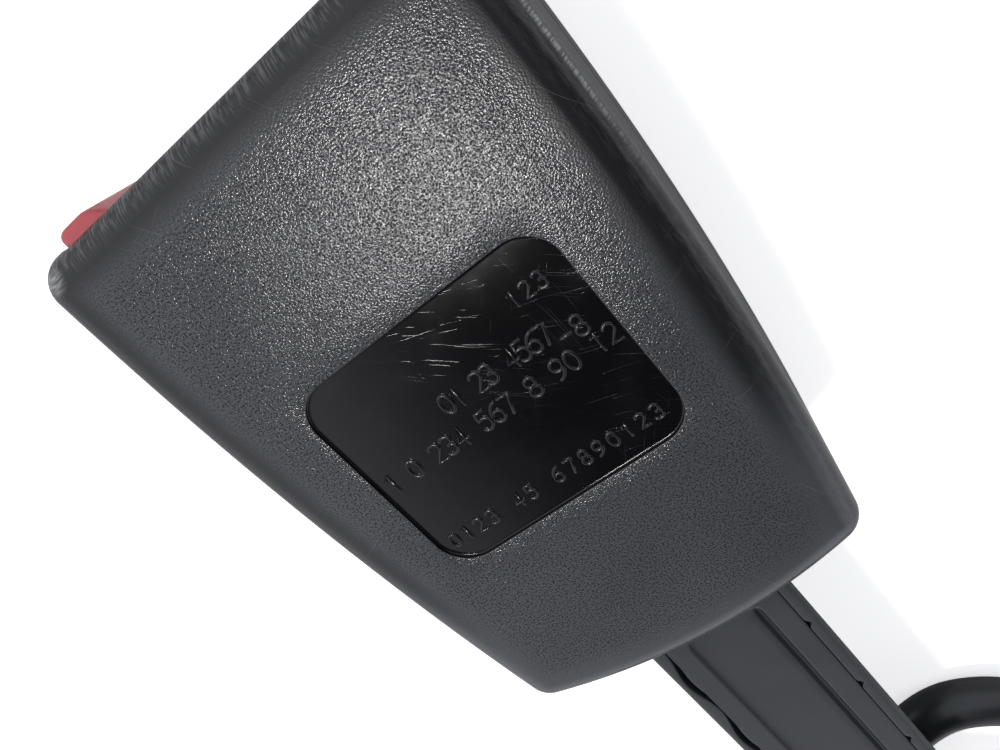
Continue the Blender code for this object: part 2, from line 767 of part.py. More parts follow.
def make_frame():
    """The pressed steel channel that carries the latch, the lock bar and the strap."""
    middle = FRAME_HALF_WIDTH - FRAME_STEEL / 2
    level = FRAME_TOP_Z - FRAME_STEEL / 2
    path = ((-middle, FRAME_WALL_LOW), (-middle, level), (middle, level), (middle, FRAME_WALL_LOW))
    section = ribbon(path, FRAME_STEEL, FRAME_BEND)
    frame = prism("frame", section, FRAME_FRONT_Y, FRAME_BACK_Y, "Y")
    wide = FRAME_HALF_WIDTH + OVERRUN
    behind = block(
        "frame_wall_trim",
        (-wide, FRAME_WALL_BACK_Y, FRAME_WALL_LOW - OVERRUN),
        (wide, FRAME_BACK_Y + OVERRUN, FRAME_UNDER_Z - GAP),
    )
    window = prism(
        "frame_window",
        rounded([
            (WINDOW_HALF, WINDOW_FRONT_Y, WINDOW_CORNER),
            (WINDOW_HALF, WINDOW_BACK_Y, WINDOW_CORNER),
            (-WINDOW_HALF, WINDOW_BACK_Y, WINDOW_CORNER),
            (-WINDOW_HALF, WINDOW_FRONT_Y, WINDOW_CORNER),
        ], 2),
        FRAME_UNDER_Z - OVERRUN,
        FRAME_TOP_Z + OVERRUN,
    )
    bar_way = prism("frame_bar_slots", bar_slot_outline(), -wide, wide, "X")
    pin = (LATCH_PIVOT_Y, LATCH_PIVOT_Z)
    pin_holes = rod("frame_pin_holes", PIN_RADIUS + GAP, (-wide, *pin), (wide, *pin))
    rivet_hole = rod(
        "frame_rivet_hole",
        RIVET_RADIUS + GAP,
        (0, RIVET_Y, FRAME_UNDER_Z - OVERRUN),
        (0, RIVET_Y, FRAME_TOP_Z + OVERRUN),
    )
    cut(frame, behind, window, bar_way, pin_holes, rivet_hole)
    return finish(frame, (0.55, 0.54, 0.50), 0.35, 1.0)


def bar_slot_outline():
    """A slanting slot with round ends, from the bar's open place to its locked place."""
    start = Vector((BAR_OPEN_Y, BAR_OPEN_Z))
    end = Vector((BAR_LOCKED_Y, BAR_OPEN_Z + BAR_RISE))
    radius = BAR_RADIUS + GAP
    heading = math.atan2(end.y - start.y, end.x - start.x)
    outline = []
    for centre, first in ((end, heading - math.pi / 2), (start, heading + math.pi / 2)):
        for step in range(9):
            angle = first + math.pi * step / 8
            outline.append((centre.x + radius * math.cos(angle), centre.y + radius * math.sin(angle)))
    return outline


def make_latch():
    """The hardened latch: a plate with a nose, on a barrel that turns on the pin."""
    half = LATCH_STEEL / 2
    nose_top = half + LATCH_NOSE_HEIGHT
    nose_back = -LATCH_LENGTH + LATCH_NOSE_LENGTH
    outline = rounded([
        (-LATCH_LENGTH, -half, LATCH_CORNER),
        (0, -half, 0),
        (0, half, 0),
        (nose_back, half, LATCH_HOOK_CORNER),
        (nose_back, nose_top, LATCH_HOOK_CORNER),
        (-LATCH_LENGTH, nose_top, LATCH_CORNER),
    ], 2)
    at = (0, LATCH_PIVOT_Y, LATCH_PIVOT_Z)
    latch = prism("latch", outline, -LATCH_HALF_WIDTH, LATCH_HALF_WIDTH, "X", at)
    wide = LATCH_BARREL_HALF
    barrel = rod("latch_barrel", LATCH_BARREL_RADIUS, (-wide, 0, 0), (wide, 0, 0), at)
    join(latch, barrel)
    past = wide + OVERRUN
    cut(latch, rod("latch_bore", PIN_RADIUS + GAP, (-past, 0, 0), (past, 0, 0), at))
    return finish(latch, (0.45, 0.45, 0.46), 0.3, 1.0)


def make_latch_pin():
    """The pin that the latch turns on, held in both walls of the frame."""
    end = FRAME_HALF_WIDTH + BAR_OVERHANG
    at = (0, LATCH_PIVOT_Y, LATCH_PIVOT_Z)
    pin = rod("latch_pin", PIN_RADIUS, (-end, 0, 0), (end, 0, 0), at)
    return finish(pin, (0.6, 0.6, 0.6), 0.3, 1.0)


def make_lock_bar():
    """The round bar across both slots of the frame, which holds the closed latch from below."""
    end = FRAME_HALF_WIDTH + BAR_OVERHANG
    bar = rod("lock_bar", BAR_RADIUS, (-end, 0, 0), (end, 0, 0), (0, BAR_OPEN_Y, BAR_OPEN_Z))
    return finish(bar, (0.6, 0.6, 0.6), 0.25, 1.0)


def make_ejector():
    """The plastic fork that the tongue pushes back and that throws it out again."""
    inner = EJECTOR_LEG_INNER
    outer = EJECTOR_LEG_OUTER
    back = EJECTOR_BACK_Y - EJECTOR_FRONT_Y
    bridge = EJECTOR_BRIDGE_Y - EJECTOR_FRONT_Y
    right = [(x, y, EJECTOR_CORNER) for x, y in ((inner, bridge), (inner, 0), (outer, 0), (outer, back))]
    left = [(-x, y, radius) for x, y, radius in right[::-1]]
    at = (0, EJECTOR_FRONT_Y, CHANNEL_FLOOR_Z + TONGUE_GAP / 2)
    half = TONGUE_GAP / 2 - GAP
    ejector = prism("ejector", rounded(right + left, 2), -half, half, "Z", at)
    peg_end = back + EJECTOR_PEG_LENGTH
    peg = rod("ejector_peg", EJECTOR_PEG_RADIUS, (0, back - ROOTED, 0), (0, peg_end, 0), at, SMALL_SIDES)
    join(ejector, peg)
    magnet_y = MAGNET_Y - EJECTOR_FRONT_Y
    pocket = block(
        "magnet_pocket",
        (-outer - OVERRUN, magnet_y - MAGNET_LENGTH / 2 - GAP, -MAGNET_HEIGHT / 2 - GAP),
        (-outer + MAGNET_WIDTH + GAP, magnet_y + MAGNET_LENGTH / 2 + GAP, MAGNET_HEIGHT / 2 + GAP),
        at,
    )
    cut(ejector, pocket)
    return finish(ejector, (0.75, 0.74, 0.70), 0.5)


def make_switch_magnet():
    """The small magnet let into the ejector's leg."""
    at = (-EJECTOR_LEG_OUTER, MAGNET_Y, CHANNEL_FLOOR_Z + TONGUE_GAP / 2)
    low = (0, -MAGNET_LENGTH / 2, -MAGNET_HEIGHT / 2)
    high = (MAGNET_WIDTH, MAGNET_LENGTH / 2, MAGNET_HEIGHT / 2)
    return finish(block("switch_magnet", low, high, at), (0.3, 0.3, 0.32), 0.3, 1.0)


def make_switch_module():
    """The sealed switch on the frame's wall, beside the end of the magnet's travel."""
    top = FRAME_UNDER_Z - GAP
    low = (-SWITCH_OUTER, SWITCH_FRONT_Y, top - SWITCH_HEIGHT)
    high = (SWITCH_WIDTH - SWITCH_OUTER, SWITCH_FRONT_Y + SWITCH_LENGTH, top)
    module = block("switch_module", low, high)
    round_edges(module, lambda co: co.z > top - SAME, SMALL_EDGE, 1)
    return finish(module, (0.03, 0.03, 0.035), 0.5)


def make_strap():
    """The steel strap: a cranked strip cut to its plan, with a rivet hole and the anchor eye."""
    level = STRAP_TOP_Z - STRAP_STEEL / 2
    low = level - STRAP_CRANK_DROP
    end = EYE_Y + EYE_RADIUS
    path = (
        (STRAP_FRONT_Y, level),
        (STRAP_CRANK_Y, level),
        (STRAP_CRANK_Y + STRAP_CRANK_RUN, low),
        (end + OVERRUN, low),
    )
    wide = EYE_RADIUS + OVERRUN
    strap = prism("strap", ribbon(path, STRAP_STEEL, STRAP_BEND), -wide, wide, "X")
    neck_y = EYE_Y - EYE_RADIUS
    right = [
        (STRAP_HEAD_HALF, STRAP_FRONT_Y, STRAP_CORNER),
        (STRAP_HEAD_HALF, STRAP_CRANK_Y - STRAP_BEND, STRAP_CORNER),
        (STRAP_HALF_WIDTH, SLEEVE_FRONT_Y - OVERRUN, STRAP_CORNER),
        (STRAP_HALF_WIDTH, neck_y, EYE_NECK_RADIUS),
    ]
    sweep = 180 - 2 * EYE_FIRST_ANGLE
    arc = []
    for step in range(EYE_STEPS + 1):
        angle = math.radians(EYE_FIRST_ANGLE + sweep * step / EYE_STEPS)
        arc.append((EYE_RADIUS * math.cos(angle), EYE_Y + EYE_RADIUS * math.sin(angle), 0))
    left = [(-x, y, radius) for x, y, radius in right[::-1]]
    plan = prism(
        "strap_plan",
        rounded(right + arc + left, 3),
        SLEEVE_FOOT_Z,
        CASE_THICK,
        holes=[circle(0, EYE_Y, EYE_HOLE_RADIUS, BROAD_SIDES), circle(0, RIVET_Y, RIVET_RADIUS + GAP)],
    )
    change(strap, plan, "INTERSECT")
    return finish(strap, (0.5, 0.5, 0.5), 0.35, 1.0)


def make_strap_rivet():
    """The rivet through the frame and the strap, with its head underneath."""
    under = STRAP_TOP_Z - STRAP_STEEL - GAP
    profile = (
        (0, FRAME_TOP_Z),
        (RIVET_RADIUS, FRAME_TOP_Z),
        (RIVET_RADIUS, under),
        (RIVET_HEAD_RADIUS, under),
        (RIVET_HEAD_RADIUS * RIVET_TAPER, under - RIVET_HEAD),
        (0, under - RIVET_HEAD),
    )
    rivet = turned("strap_rivet", profile, (0, RIVET_Y, 0))
    return finish(rivet, (0.6, 0.6, 0.6), 0.3, 1.0)


def sleeve_section(grow=0.0):
    """The sleeve's outer section: widest near its rails' tops and tapering to a rounded foot."""
    top = SLEEVE_TOP_Z + grow
    foot = SLEEVE_FOOT_Z - grow
    corners = (
        (SLEEVE_TOP_HALF + grow, top, SLEEVE_TOP_CORNER),
        (-SLEEVE_TOP_HALF - grow, top, SLEEVE_TOP_CORNER),
        (-SLEEVE_FOOT_HALF - grow, foot, SLEEVE_FOOT_CORNER),
        (SLEEVE_FOOT_HALF + grow, foot, SLEEVE_FOOT_CORNER),
    )
    return rounded(corners)


def cover_outline(grow=0.0):
    """The cover's plan: two long edges that wave in and out once in every pitch."""
    front = SLEEVE_FRONT_Y - grow
    back = SLEEVE_BACK_Y + grow
    steps = max(2, round((SLEEVE_BACK_Y - SLEEVE_FRONT_Y) / COVER_PITCH * COVER_STEPS))
    right = []
    for step in range(steps + 1):
        y = front + (back - front) * step / steps
        wave = COVER_WAVE * math.cos(2 * math.pi * (y - COVER_WAVE_Y) / COVER_PITCH)
        right.append((COVER_HALF_WIDTH + grow + wave, y))
    return right + [(-x, y) for x, y in right[::-1]]


def make_sleeve_front():
    """The sleeve's channel, with the pocket for its cover and the side outlet for the lead."""
    sleeve = prism("sleeve_front", sleeve_section(), SLEEVE_FRONT_Y, SLEEVE_BACK_Y, "Y")
    at = (OUTLET_Y, OUTLET_Z)
    join(sleeve, rod("sleeve_outlet", OUTLET_RADIUS, (SLEEVE_FOOT_HALF, *at), (OUTLET_END_X, *at)))
    room = STRAP_HALF_WIDTH + GAP
    channel = block(
        "sleeve_channel",
        (-room, SLEEVE_FRONT_Y - OVERRUN, SLEEVE_FOOT_Z + SLEEVE_WALL),
        (room, SLEEVE_BACK_Y + OVERRUN, SLEEVE_TOP_Z + OVERRUN),
    )
    pocket = prism("cover_pocket", cover_outline(GAP), COVER_UNDER_Z - GAP, SLEEVE_TOP_Z + OVERRUN)
    bore = rod(
        "outlet_bore",
        BOOT_NECK_RADIUS + GAP,
        (room - OVERRUN, *at),
        (OUTLET_END_X + OVERRUN, *at),
    )
    slot_y = RAIL_SLOT_LENGTH / 2
    slot = block(
        "rail_slot",
        (-RAIL_SLOT_WIDTH / 2, -slot_y, -RAIL_SLOT_DEPTH),
        (RAIL_SLOT_WIDTH / 2, slot_y, OVERRUN),
        (-RAIL_SLOT_X, RAIL_SLOT_Y, SLEEVE_TOP_Z),
    )
    cut(sleeve, channel, pocket, bore, slot)
    return finish(sleeve, (0.085, 0.088, 0.095), 0.45)


def make_sleeve_rear():
    """The sleeve's cover, with scalloped edges and a sunk panel along its middle."""
    cover = prism("sleeve_rear", cover_outline(), COVER_UNDER_Z, SLEEVE_TOP_Z)
    sunk = prism(
        "cover_panel",
        panel(PANEL_HALF_WIDTH, CASE_BACK_Y - 2 * WALL, SLEEVE_BACK_Y - PANEL_END, PANEL_CORNER),
        SLEEVE_TOP_Z - PANEL_DEPTH,
        SLEEVE_TOP_Z + OVERRUN,
    )
    cut(cover, sunk)
    return finish(cover, (0.09, 0.092, 0.1), 0.42)


def make_lead_boot():
    """The rubber boot in the sleeve's outlet that the lead comes out of."""
    seat = OUTLET_END_X + GAP
    profile = (
        (0, seat + BOOT_LENGTH + BOOT_FLANGE),
        (BOOT_END_RADIUS, seat + BOOT_LENGTH + BOOT_FLANGE),
        (BOOT_FLANGE_RADIUS - BOOT_STEP, seat + BOOT_FLANGE),
        (BOOT_FLANGE_RADIUS, seat + BOOT_FLANGE),
        (BOOT_FLANGE_RADIUS, seat),
        (BOOT_NECK_RADIUS, seat),
        (BOOT_NECK_RADIUS, seat - BOOT_NECK),
        (0, seat - BOOT_NECK),
    )
    boot = turned("lead_boot", profile, (0, OUTLET_Y, OUTLET_Z), (0, math.pi / 2, 0))
    return finish(boot, (0.015, 0.015, 0.016), 0.6)


def make_plug_housing():
    """The two-way plug at the lead's end, with cavities for its terminals and a latch arm on top."""
    at = (PLUG_X, PLUG_REAR_Y, 0)
    side = PLUG_HALF_WIDTH
    plug = block("plug_housing", (-side, 0, 0), (side, PLUG_LENGTH, PLUG_HEIGHT), at)
    round_edges(plug, lambda co: True, PLUG_EDGE, 1)
    half = PLUG_CAVITY / 2
    for way in (-1, 1):
        x = way * PLUG_CAVITY_X
        low = (x - half, PLUG_LENGTH - PLUG_CAVITY_DEPTH, PLUG_HEIGHT / 2 - half)
        high = (x + half, PLUG_LENGTH + OVERRUN, PLUG_HEIGHT / 2 + half)
        cut(plug, block(f"plug_cavity_{way}", low, high, at))
    nose = PLUG_LENGTH - PLUG_EDGE - GAP
    tooth = nose - PLUG_TOOTH
    low = PLUG_HEIGHT - ROOTED
    flat = PLUG_HEIGHT + PLUG_ARM_THICK
    peak = PLUG_HEIGHT + PLUG_LATCH_RISE
    arm = prism(
        "plug_latch_arm",
        [
            (PLUG_ARM_START, low),
            (nose, low),
            (nose, PLUG_HEIGHT + GAP),
            (tooth + PLUG_ARM_THICK, peak),
            (tooth, peak),
            (tooth, flat),
            (PLUG_ARM_START, flat),
        ],
        -PLUG_LATCH_HALF,
        PLUG_LATCH_HALF,
        "X",
        at,
    )
    join(plug, arm)
    return finish(plug, (0.02, 0.02, 0.022), 0.4)


def make_plug_lock():
    """The clip across the back of the plug that keeps its terminals in."""
    at = (PLUG_X, PLUG_REAR_Y + PLUG_LOCK_INSET, PLUG_HEIGHT + GAP)
    side = PLUG_HALF_WIDTH - PLUG_EDGE
    clip = block("plug_lock", (-side, 0, 0), (side, PLUG_LOCK_LENGTH, PLUG_LOCK_THICK), at)
    round_edges(clip, lambda co: co.z > PLUG_LOCK_THICK - SAME, SMALL_EDGE, 1)
    return finish(clip, (0.55, 0.12, 0.02), 0.4)


def make_terminals():
    """The two contacts that lie in the plug's cavities."""
    half = TERMINAL_SIZE / 2
    length = PLUG_CAVITY_DEPTH - TERMINAL_SHORT
    for side, name in ((-1, "terminal_left"), (1, "terminal_right")):
        x = PLUG_X + side * PLUG_CAVITY_X
        at = (x, PLUG_REAR_Y + PLUG_LENGTH - PLUG_CAVITY_DEPTH + GAP, PLUG_HEIGHT / 2)
        contact = block(name, (-half, 0, -PLUG_CAVITY / 2 + GAP), (half, length, half), at)
        finish(contact, (0.7, 0.55, 0.3), 0.25, 1.0)


def make_springs():
    """The two button springs and the ejector's spring."""
    room = WIRE_RADIUS + GAP
    for side, name in ((-1, "button_spring_left"), (1, "button_spring_right")):
        points = helix(
            side * BUTTON_SPRING_X,
            BUTTON_SPRING_Z,
            BUTTON_SPRING_RADIUS,
            BUTTON_CAVITY_Y + room,
            STOP_Y - room,
            BUTTON_SPRING_TURNS,
        )
        finish(wire(name, points, WIRE_RADIUS, 1), (0.6, 0.6, 0.6), 0.25, 1.0)
    points = helix(
        0,
        CHANNEL_FLOOR_Z + TONGUE_GAP / 2,
        EJECTOR_SPRING_RADIUS,
        EJECTOR_BACK_Y + room,
        STRAP_FRONT_Y - room,
        EJECTOR_SPRING_TURNS,
    )
    finish(wire("ejector_spring", points, WIRE_RADIUS, 1), (0.6, 0.6, 0.6), 0.25, 1.0)


def make_lead_and_wire():
    """The free lead on the table, and the thin wire from the switch to the boot."""
    lead = wire("switch_lead", smooth_route(LEAD_ROUTE, LEAD_RADIUS * 1.6), LEAD_RADIUS, 3)
    finish(lead, (0.012, 0.012, 0.013), 0.35)
    inner = wire("switch_wire", smooth_route(WIRE_ROUTE, 0.0035), SWITCH_WIRE_RADIUS, 1)
    finish(inner, (0.03, 0.03, 0.03), 0.5)


def main():
    clear_scene()
    make_rear_shell()
    make_front_shell()
    make_release_button()
    make_slot_liner()
    make_frame()
    make_latch()
    make_latch_pin()
    make_lock_bar()
    make_ejector()
    make_switch_magnet()
    make_switch_module()
    make_strap()
    make_strap_rivet()
    make_sleeve_front()
    make_sleeve_rear()
    make_lead_boot()
    make_plug_housing()
    make_plug_lock()
    make_terminals()
    make_springs()
    make_lead_and_wire()


main()
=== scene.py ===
"""The looks of a seat belt buckle: its moulded surfaces, finishes, switch lead, stage and camera.

The file is laid out as an add-on and is run as a script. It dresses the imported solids, which give
every place and stay as they are. All lengths are in metres, and every finished piece lies at the
origin with its place in its mesh.
"""

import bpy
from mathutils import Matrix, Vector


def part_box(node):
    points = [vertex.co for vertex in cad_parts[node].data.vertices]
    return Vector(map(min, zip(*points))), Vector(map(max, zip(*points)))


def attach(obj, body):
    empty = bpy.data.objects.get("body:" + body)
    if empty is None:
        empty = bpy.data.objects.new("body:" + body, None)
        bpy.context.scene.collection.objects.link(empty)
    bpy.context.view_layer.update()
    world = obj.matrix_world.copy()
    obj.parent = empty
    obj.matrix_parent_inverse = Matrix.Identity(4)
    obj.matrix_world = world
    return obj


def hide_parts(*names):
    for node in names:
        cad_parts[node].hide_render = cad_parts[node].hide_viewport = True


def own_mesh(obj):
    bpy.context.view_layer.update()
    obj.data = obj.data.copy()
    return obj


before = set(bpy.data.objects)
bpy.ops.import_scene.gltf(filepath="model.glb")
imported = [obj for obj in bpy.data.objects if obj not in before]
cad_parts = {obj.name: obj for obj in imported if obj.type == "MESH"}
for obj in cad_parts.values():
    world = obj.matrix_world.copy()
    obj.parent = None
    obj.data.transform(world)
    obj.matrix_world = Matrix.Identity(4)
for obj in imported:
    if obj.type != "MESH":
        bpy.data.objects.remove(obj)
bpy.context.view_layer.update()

import math

import bmesh
import bpy
import numpy as np
from bpy.props import FloatProperty, FloatVectorProperty, IntProperty, PointerProperty
from mathutils import Matrix, Vector

bl_info = {
    "name": "Seat belt buckle looks",
    "version": (1, 0, 0),
    "blender": (4, 5, 0),
    "location": "3D View > Sidebar > Buckle",
    "description": "Dresses the seat belt buckle's solids with moulded surfaces and finishes",
    "category": "Object",
}

MM = 0.001

# The gap between fixed pieces, how far a cutter stands out, and the least step between two levels
GAP = 0.3 * MM
OVERSHOOT = 1 * MM
HAIR = 0.01 * MM

# Case, in the same plan as its solids
CASE_HALF_WIDTH = 25 * MM
CASE_WIDEST_Y = -22.5 * MM
CASE_SIDE_RADIUS = 400 * MM
CASE_FRONT_Y = -36.35 * MM
CASE_BACK_Y = 37.35 * MM
CASE_END_RADIUS = 69 * MM
CASE_CORNER = 3.2 * MM
CASE_TOP_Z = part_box("rear_shell")[1].z
WALL = 1.8 * MM
SEAM_Z = 9.5 * MM
SEAM_GAP = 0.3 * MM
LIP_INSET = 1.1 * MM
LIP_HEIGHT = 1.2 * MM
SEAM_EDGE = 0.25 * MM
FRONT_RING_Z = 6 * MM
REAR_RING_Z = 15 * MM
LABEL_HALF = (15 * MM, 12.675 * MM)
LABEL_CORNER = 4 * MM
LABEL_EDGE = 0.12 * MM
# the front corner where a painted highlight sits, mirrored to both sides
GLINT_CORNER = (22.4 * MM, -34.8 * MM, 23.4 * MM)

# Rows of digits in the recess: text, start in X, foot in Y, pitch, and share of the digit height
SMALL = 0.78
DIGIT_ROWS = (
    ("123", -8.3 * MM, -7.0 * MM, 1.5 * MM, SMALL),
    ("01 23 4567", 3.6 * MM, -2.3 * MM, 1.3 * MM, 1.0),
    ("-8", -9.6 * MM, -1.1 * MM, 1.6 * MM, 1.0),
    ("1 0 234 567 8 90 12", 14.0 * MM, 1.3 * MM, 1.5 * MM, 1.0),
    ("0123 45 67890123", 13.6 * MM, 10.3 * MM, 1.68 * MM, SMALL),
)
DIGIT_STROKE = 0.19 * MM

# Button and its pocket
POCKET_HALF_WIDTH = 21 * MM
POCKET_CORNER = 2.2 * MM
POCKET_FLARE = 0.4 * MM
BUTTON_GAP = 0.4 * MM
BUTTON_LOW, BUTTON_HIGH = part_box("release_button")
BUTTON_BACK_Y = -28.5 * MM
BUTTON_DISH_HALF = 16.2 * MM
BUTTON_DISH_SLOPE = math.radians(36)
BUTTON_DISH_SWEEP = 6 * MM
BUTTON_EAR_RADIUS = 2.5 * MM
BUTTON_LEAN = 0.035
BUTTON_WALL = 1.8 * MM
ARM_OUTER = 15.6 * MM
ARM_WIDTH = 3.6 * MM
ARM_ROOT = 0.3 * MM
ARM_LOW_Z = 4 * MM
ARM_HIGH_Z = 12 * MM

# Liner, sleeve and its cover
LINER_LOW, LINER_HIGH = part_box("slot_liner")
SLOT_HALF_WIDTH = 10.9 * MM
SLOT_LOW_Z = 15.3 * MM
SLOT_HIGH_Z = 19.7 * MM
SLEEVE_LOW, SLEEVE_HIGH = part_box("sleeve_front")
COVER_LOW, COVER_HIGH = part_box("sleeve_rear")
SLEEVE_TOP_HALF = 9.9 * MM
SLEEVE_FOOT_HALF = 6.6 * MM
SLEEVE_FOOT_CORNER = 2.2 * MM
SLEEVE_TOP_CORNER = 0.7 * MM
SLEEVE_FLAT_HALF = 2.5 * MM
SLEEVE_ROOM = 6.7 * MM
SLEEVE_FLOOR_Z = 10.1 * MM
COVER_HALF_WIDTH = 7.9 * MM
COVER_PITCH = 12.2 * MM
COVER_WAVE_Y = 46.8 * MM
WAVE_INSET = 0.25 * MM
NICK_DEPTH = 0.55 * MM
NICK_WIDTH = 0.45 * MM
PANEL_HALF_WIDTH = 4.9 * MM
PANEL_DEPTH = 0.7 * MM
PANEL_START_Y = 41 * MM
PANEL_END_Y = 92 * MM
PANEL_EDGE = 0.5 * MM
PANEL_GROOVE = 0.65 * MM
GROOVE_INSET = 0.6 * MM
GROOVE_WIDTH = 0.42 * MM
GROOVE_FADE = 1.5 * MM

# Strap with its anchor eye
STRAP_LOW, STRAP_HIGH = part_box("strap")
STRAP_STEEL = 3 * MM
STRAP_HEAD_HALF = 9 * MM
STRAP_HALF_WIDTH = 6.4 * MM
STRAP_CRANK_Y = (29.8 * MM, 35 * MM)
STRAP_HEAD_TAPER = 4 * MM
STRAP_CORNER = 0.35 * MM
EYE_Y = 112 * MM
EYE_RADIUS = 14 * MM
EYE_HOLE_RADIUS = 6.2 * MM
EYE_HOLE_EDGE = 0.3 * MM

# Lead, boot and springs
LEAD_RADIUS = 3.4 * MM
OUTLET_Y = 88 * MM
OUTLET_Z = 12.8 * MM
OUTLET_RADIUS = 3.8 * MM
OUTLET_END_X = 12.8 * MM
OUTLET_BORE_RADIUS = 2.4 * MM
BOOT_NECK_RADIUS = 2.1 * MM
BOOT_FLANGE_RADIUS = 4.2 * MM
BOOT_FLANGE = 1.3 * MM
BOOT_RIB = 0.35 * MM
SPRING_WIRE = 0.3 * MM
BUTTON_SPRING_ANCHOR_Y = -14 * MM
EJECTOR_SPRING_ANCHOR_Y = 19.9 * MM
BUTTON_TRAVEL = 5 * MM
EJECTOR_TRAVEL = 11 * MM

# The lead's way over the table, a list given from its boot to its plug
LEAD_ROUTE = (
    (0.0246, 0.0880, 0.0128),
    (0.0282, 0.0880, 0.0128),
    (0.0325, 0.0886, 0.0117),
    (0.0368, 0.0906, 0.0091),
    (0.0399, 0.0942, 0.0063),
    (0.0414, 0.0990, 0.0043),
    (0.0415, 0.1040, 0.0036),
    (0.0400, 0.1080, 0.00345),
    (0.0362, 0.1128, 0.00345),
    (0.0305, 0.1161, 0.00345),
    (0.0238, 0.1172, 0.00345),
    (0.0174, 0.1156, 0.00345),
    (0.0127, 0.1120, 0.00345),
    (0.0096, 0.1070, 0.00345),
    (0.0070, 0.1015, 0.00345),
    (0.0036, 0.0962, 0.00345),
    (-0.0012, 0.0920, 0.00345),
    (-0.0061, 0.0892, 0.00345),
    (-0.0110, 0.0884, 0.00345),
    (-0.0154, 0.0900, 0.00345),
    (-0.0192, 0.0932, 0.00345),
    (-0.0219, 0.0980, 0.00345),
    (-0.0233, 0.1040, 0.00345),
    (-0.0236, 0.1110, 0.00345),
    (-0.0231, 0.1190, 0.0037),
    (-0.0223, 0.1270, 0.0043),
    (-0.0220, 0.1362, 0.00475),
)

# Camera: the photograph's place and angle, close over the label
CAMERA_PLACE = (-0.02958, -0.03007, 0.09351)
CAMERA_RIGHT = (-0.76832, 0.63872, -0.04159)
CAMERA_UP = (-0.54650, -0.68844, -0.47686)
CAMERA_LENS_MM = 30.96
CAMERA_SENSOR_MM = 36.0

# Light: the lamp's aim on the case, its way from there, and how far away it is
LAMP_AIM = Vector((-0.0102, -0.0195, CASE_TOP_Z))
LAMP_WAY = Vector((0.266, 0.144, 0.953))
LAMP_DISTANCE = 0.7

# Dark patches of the world: direction, and the angles from it, in degrees, where it is full and gone
DARK_PATCHES = (
    ((-0.065, 0.369, 0.927), 21, 40),
    ((-0.760, 0.307, 0.574), 16, 31),
)

# How finely rings are divided
SIDE_POINTS = 110
CORNER_POINTS = 26


def linear(code):
    """An sRGB hex colour as linear red, green and blue."""
    values = [int(code[k:k + 2], 16) / 255 for k in (1, 3, 5)]
    return [v / 12.92 if v <= 0.04045 else ((v + 0.055) / 1.055) ** 2.4 for v in values]


def size_setting(name, description, default):
    """A size in metres that a user may change."""
    return FloatProperty(name=name, description=description, default=default, unit="LENGTH")


def colour_setting(name, description, code):
    """A colour that a user may change, from its sRGB hex code."""
    return FloatVectorProperty(name=name, description=description, default=linear(code), subtype="COLOR")


class BuckleCaseSettings(bpy.types.PropertyGroup):
    """Sizes and colours of the two case shells."""

    edge_radius: size_setting("Edge radius", "Radius of the case's outer edges", 3 * MM)
    label_depth: size_setting("Label depth", "Depth of the polished recess for a label", 0.5 * MM)
    grain_width: size_setting("Grain width", "Width of one grain of the case's texture", 0.2 * MM)
    grain_depth: size_setting("Grain depth", "Depth of the case's texture", 0.045 * MM)
    digit_height: size_setting("Digit height", "Height of the raised digits in the recess", 2.2 * MM)
    colour: colour_setting("Case colour", "Colour of the case's plastic", "#444549")
    label_colour: colour_setting("Recess colour", "Colour of the polished recess", "#0b0b0d")


class BuckleButtonSettings(bpy.types.PropertyGroup):
    """Sizes and colour of the release button."""

    dish_depth: size_setting("Dish depth", "Depth of the dish for the thumb", 2.8 * MM)
    edge_radius: size_setting("Edge radius", "Radius of the button's front edges", 0.9 * MM)
    colour: colour_setting("Button colour", "Colour of the button's plastic", "#b43a40")


class BuckleStalkSettings(bpy.types.PropertyGroup):
    """Sizes and colours of the sleeve and the strap."""

    rail_wave: size_setting("Rail wave", "How far the rail's scallops go in and out", 0.45 * MM)
    cover_wave: size_setting("Cover wave", "How far the cover's scallops go in and out", 0.3 * MM)
    sleeve_colour: colour_setting("Sleeve colour", "Colour of the sleeve's plastic", "#303135")
    steel_colour: colour_setting("Steel colour", "Colour of the plated steel", "#b9b6ad")


class BuckleLeadSettings(bpy.types.PropertyGroup):
    """Ribs and colour of the switch lead and its boot."""

    boot_ribs: IntProperty(
        name="Boot ribs",
        description="Number of ribs on the lead's boot",
        default=5,
        min=1,
    )
    colour: colour_setting("Lead colour", "Colour of the lead's sheath", "#222327")


class BuckleStageSettings(bpy.types.PropertyGroup):
    """Floor and light."""

    floor_colour: colour_setting("Floor colour", "Colour of the floor", "#f4f4f4")
    lamp_power: FloatProperty(
        name="Lamp power",
        description="Power of the lamp that makes the sheen, in watts",
        default=1.6,
        min=0.0,
    )


def new_piece(name, data):
    """A new object at the origin that shows the data."""
    piece = bpy.data.objects.new(name, data)
    bpy.context.scene.collection.objects.link(piece)
    return piece


def mesh_piece(name, vertices, faces):
    """A closed mesh with its faces turned outwards, as an object of its own."""
    mesh = bpy.data.meshes.new(name)
    mesh.from_pydata(vertices, [], faces)
    turn_outwards(mesh)
    return new_piece(name, mesh)


def quads_between(index):
    """The quads between neighbouring rows of vertex numbers, where every row is a closed ring."""
    right = np.roll(index, -1, axis=1)
    return np.stack([index[:-1], right[:-1], right[1:], index[1:]], axis=-1).reshape(-1, 4).tolist()


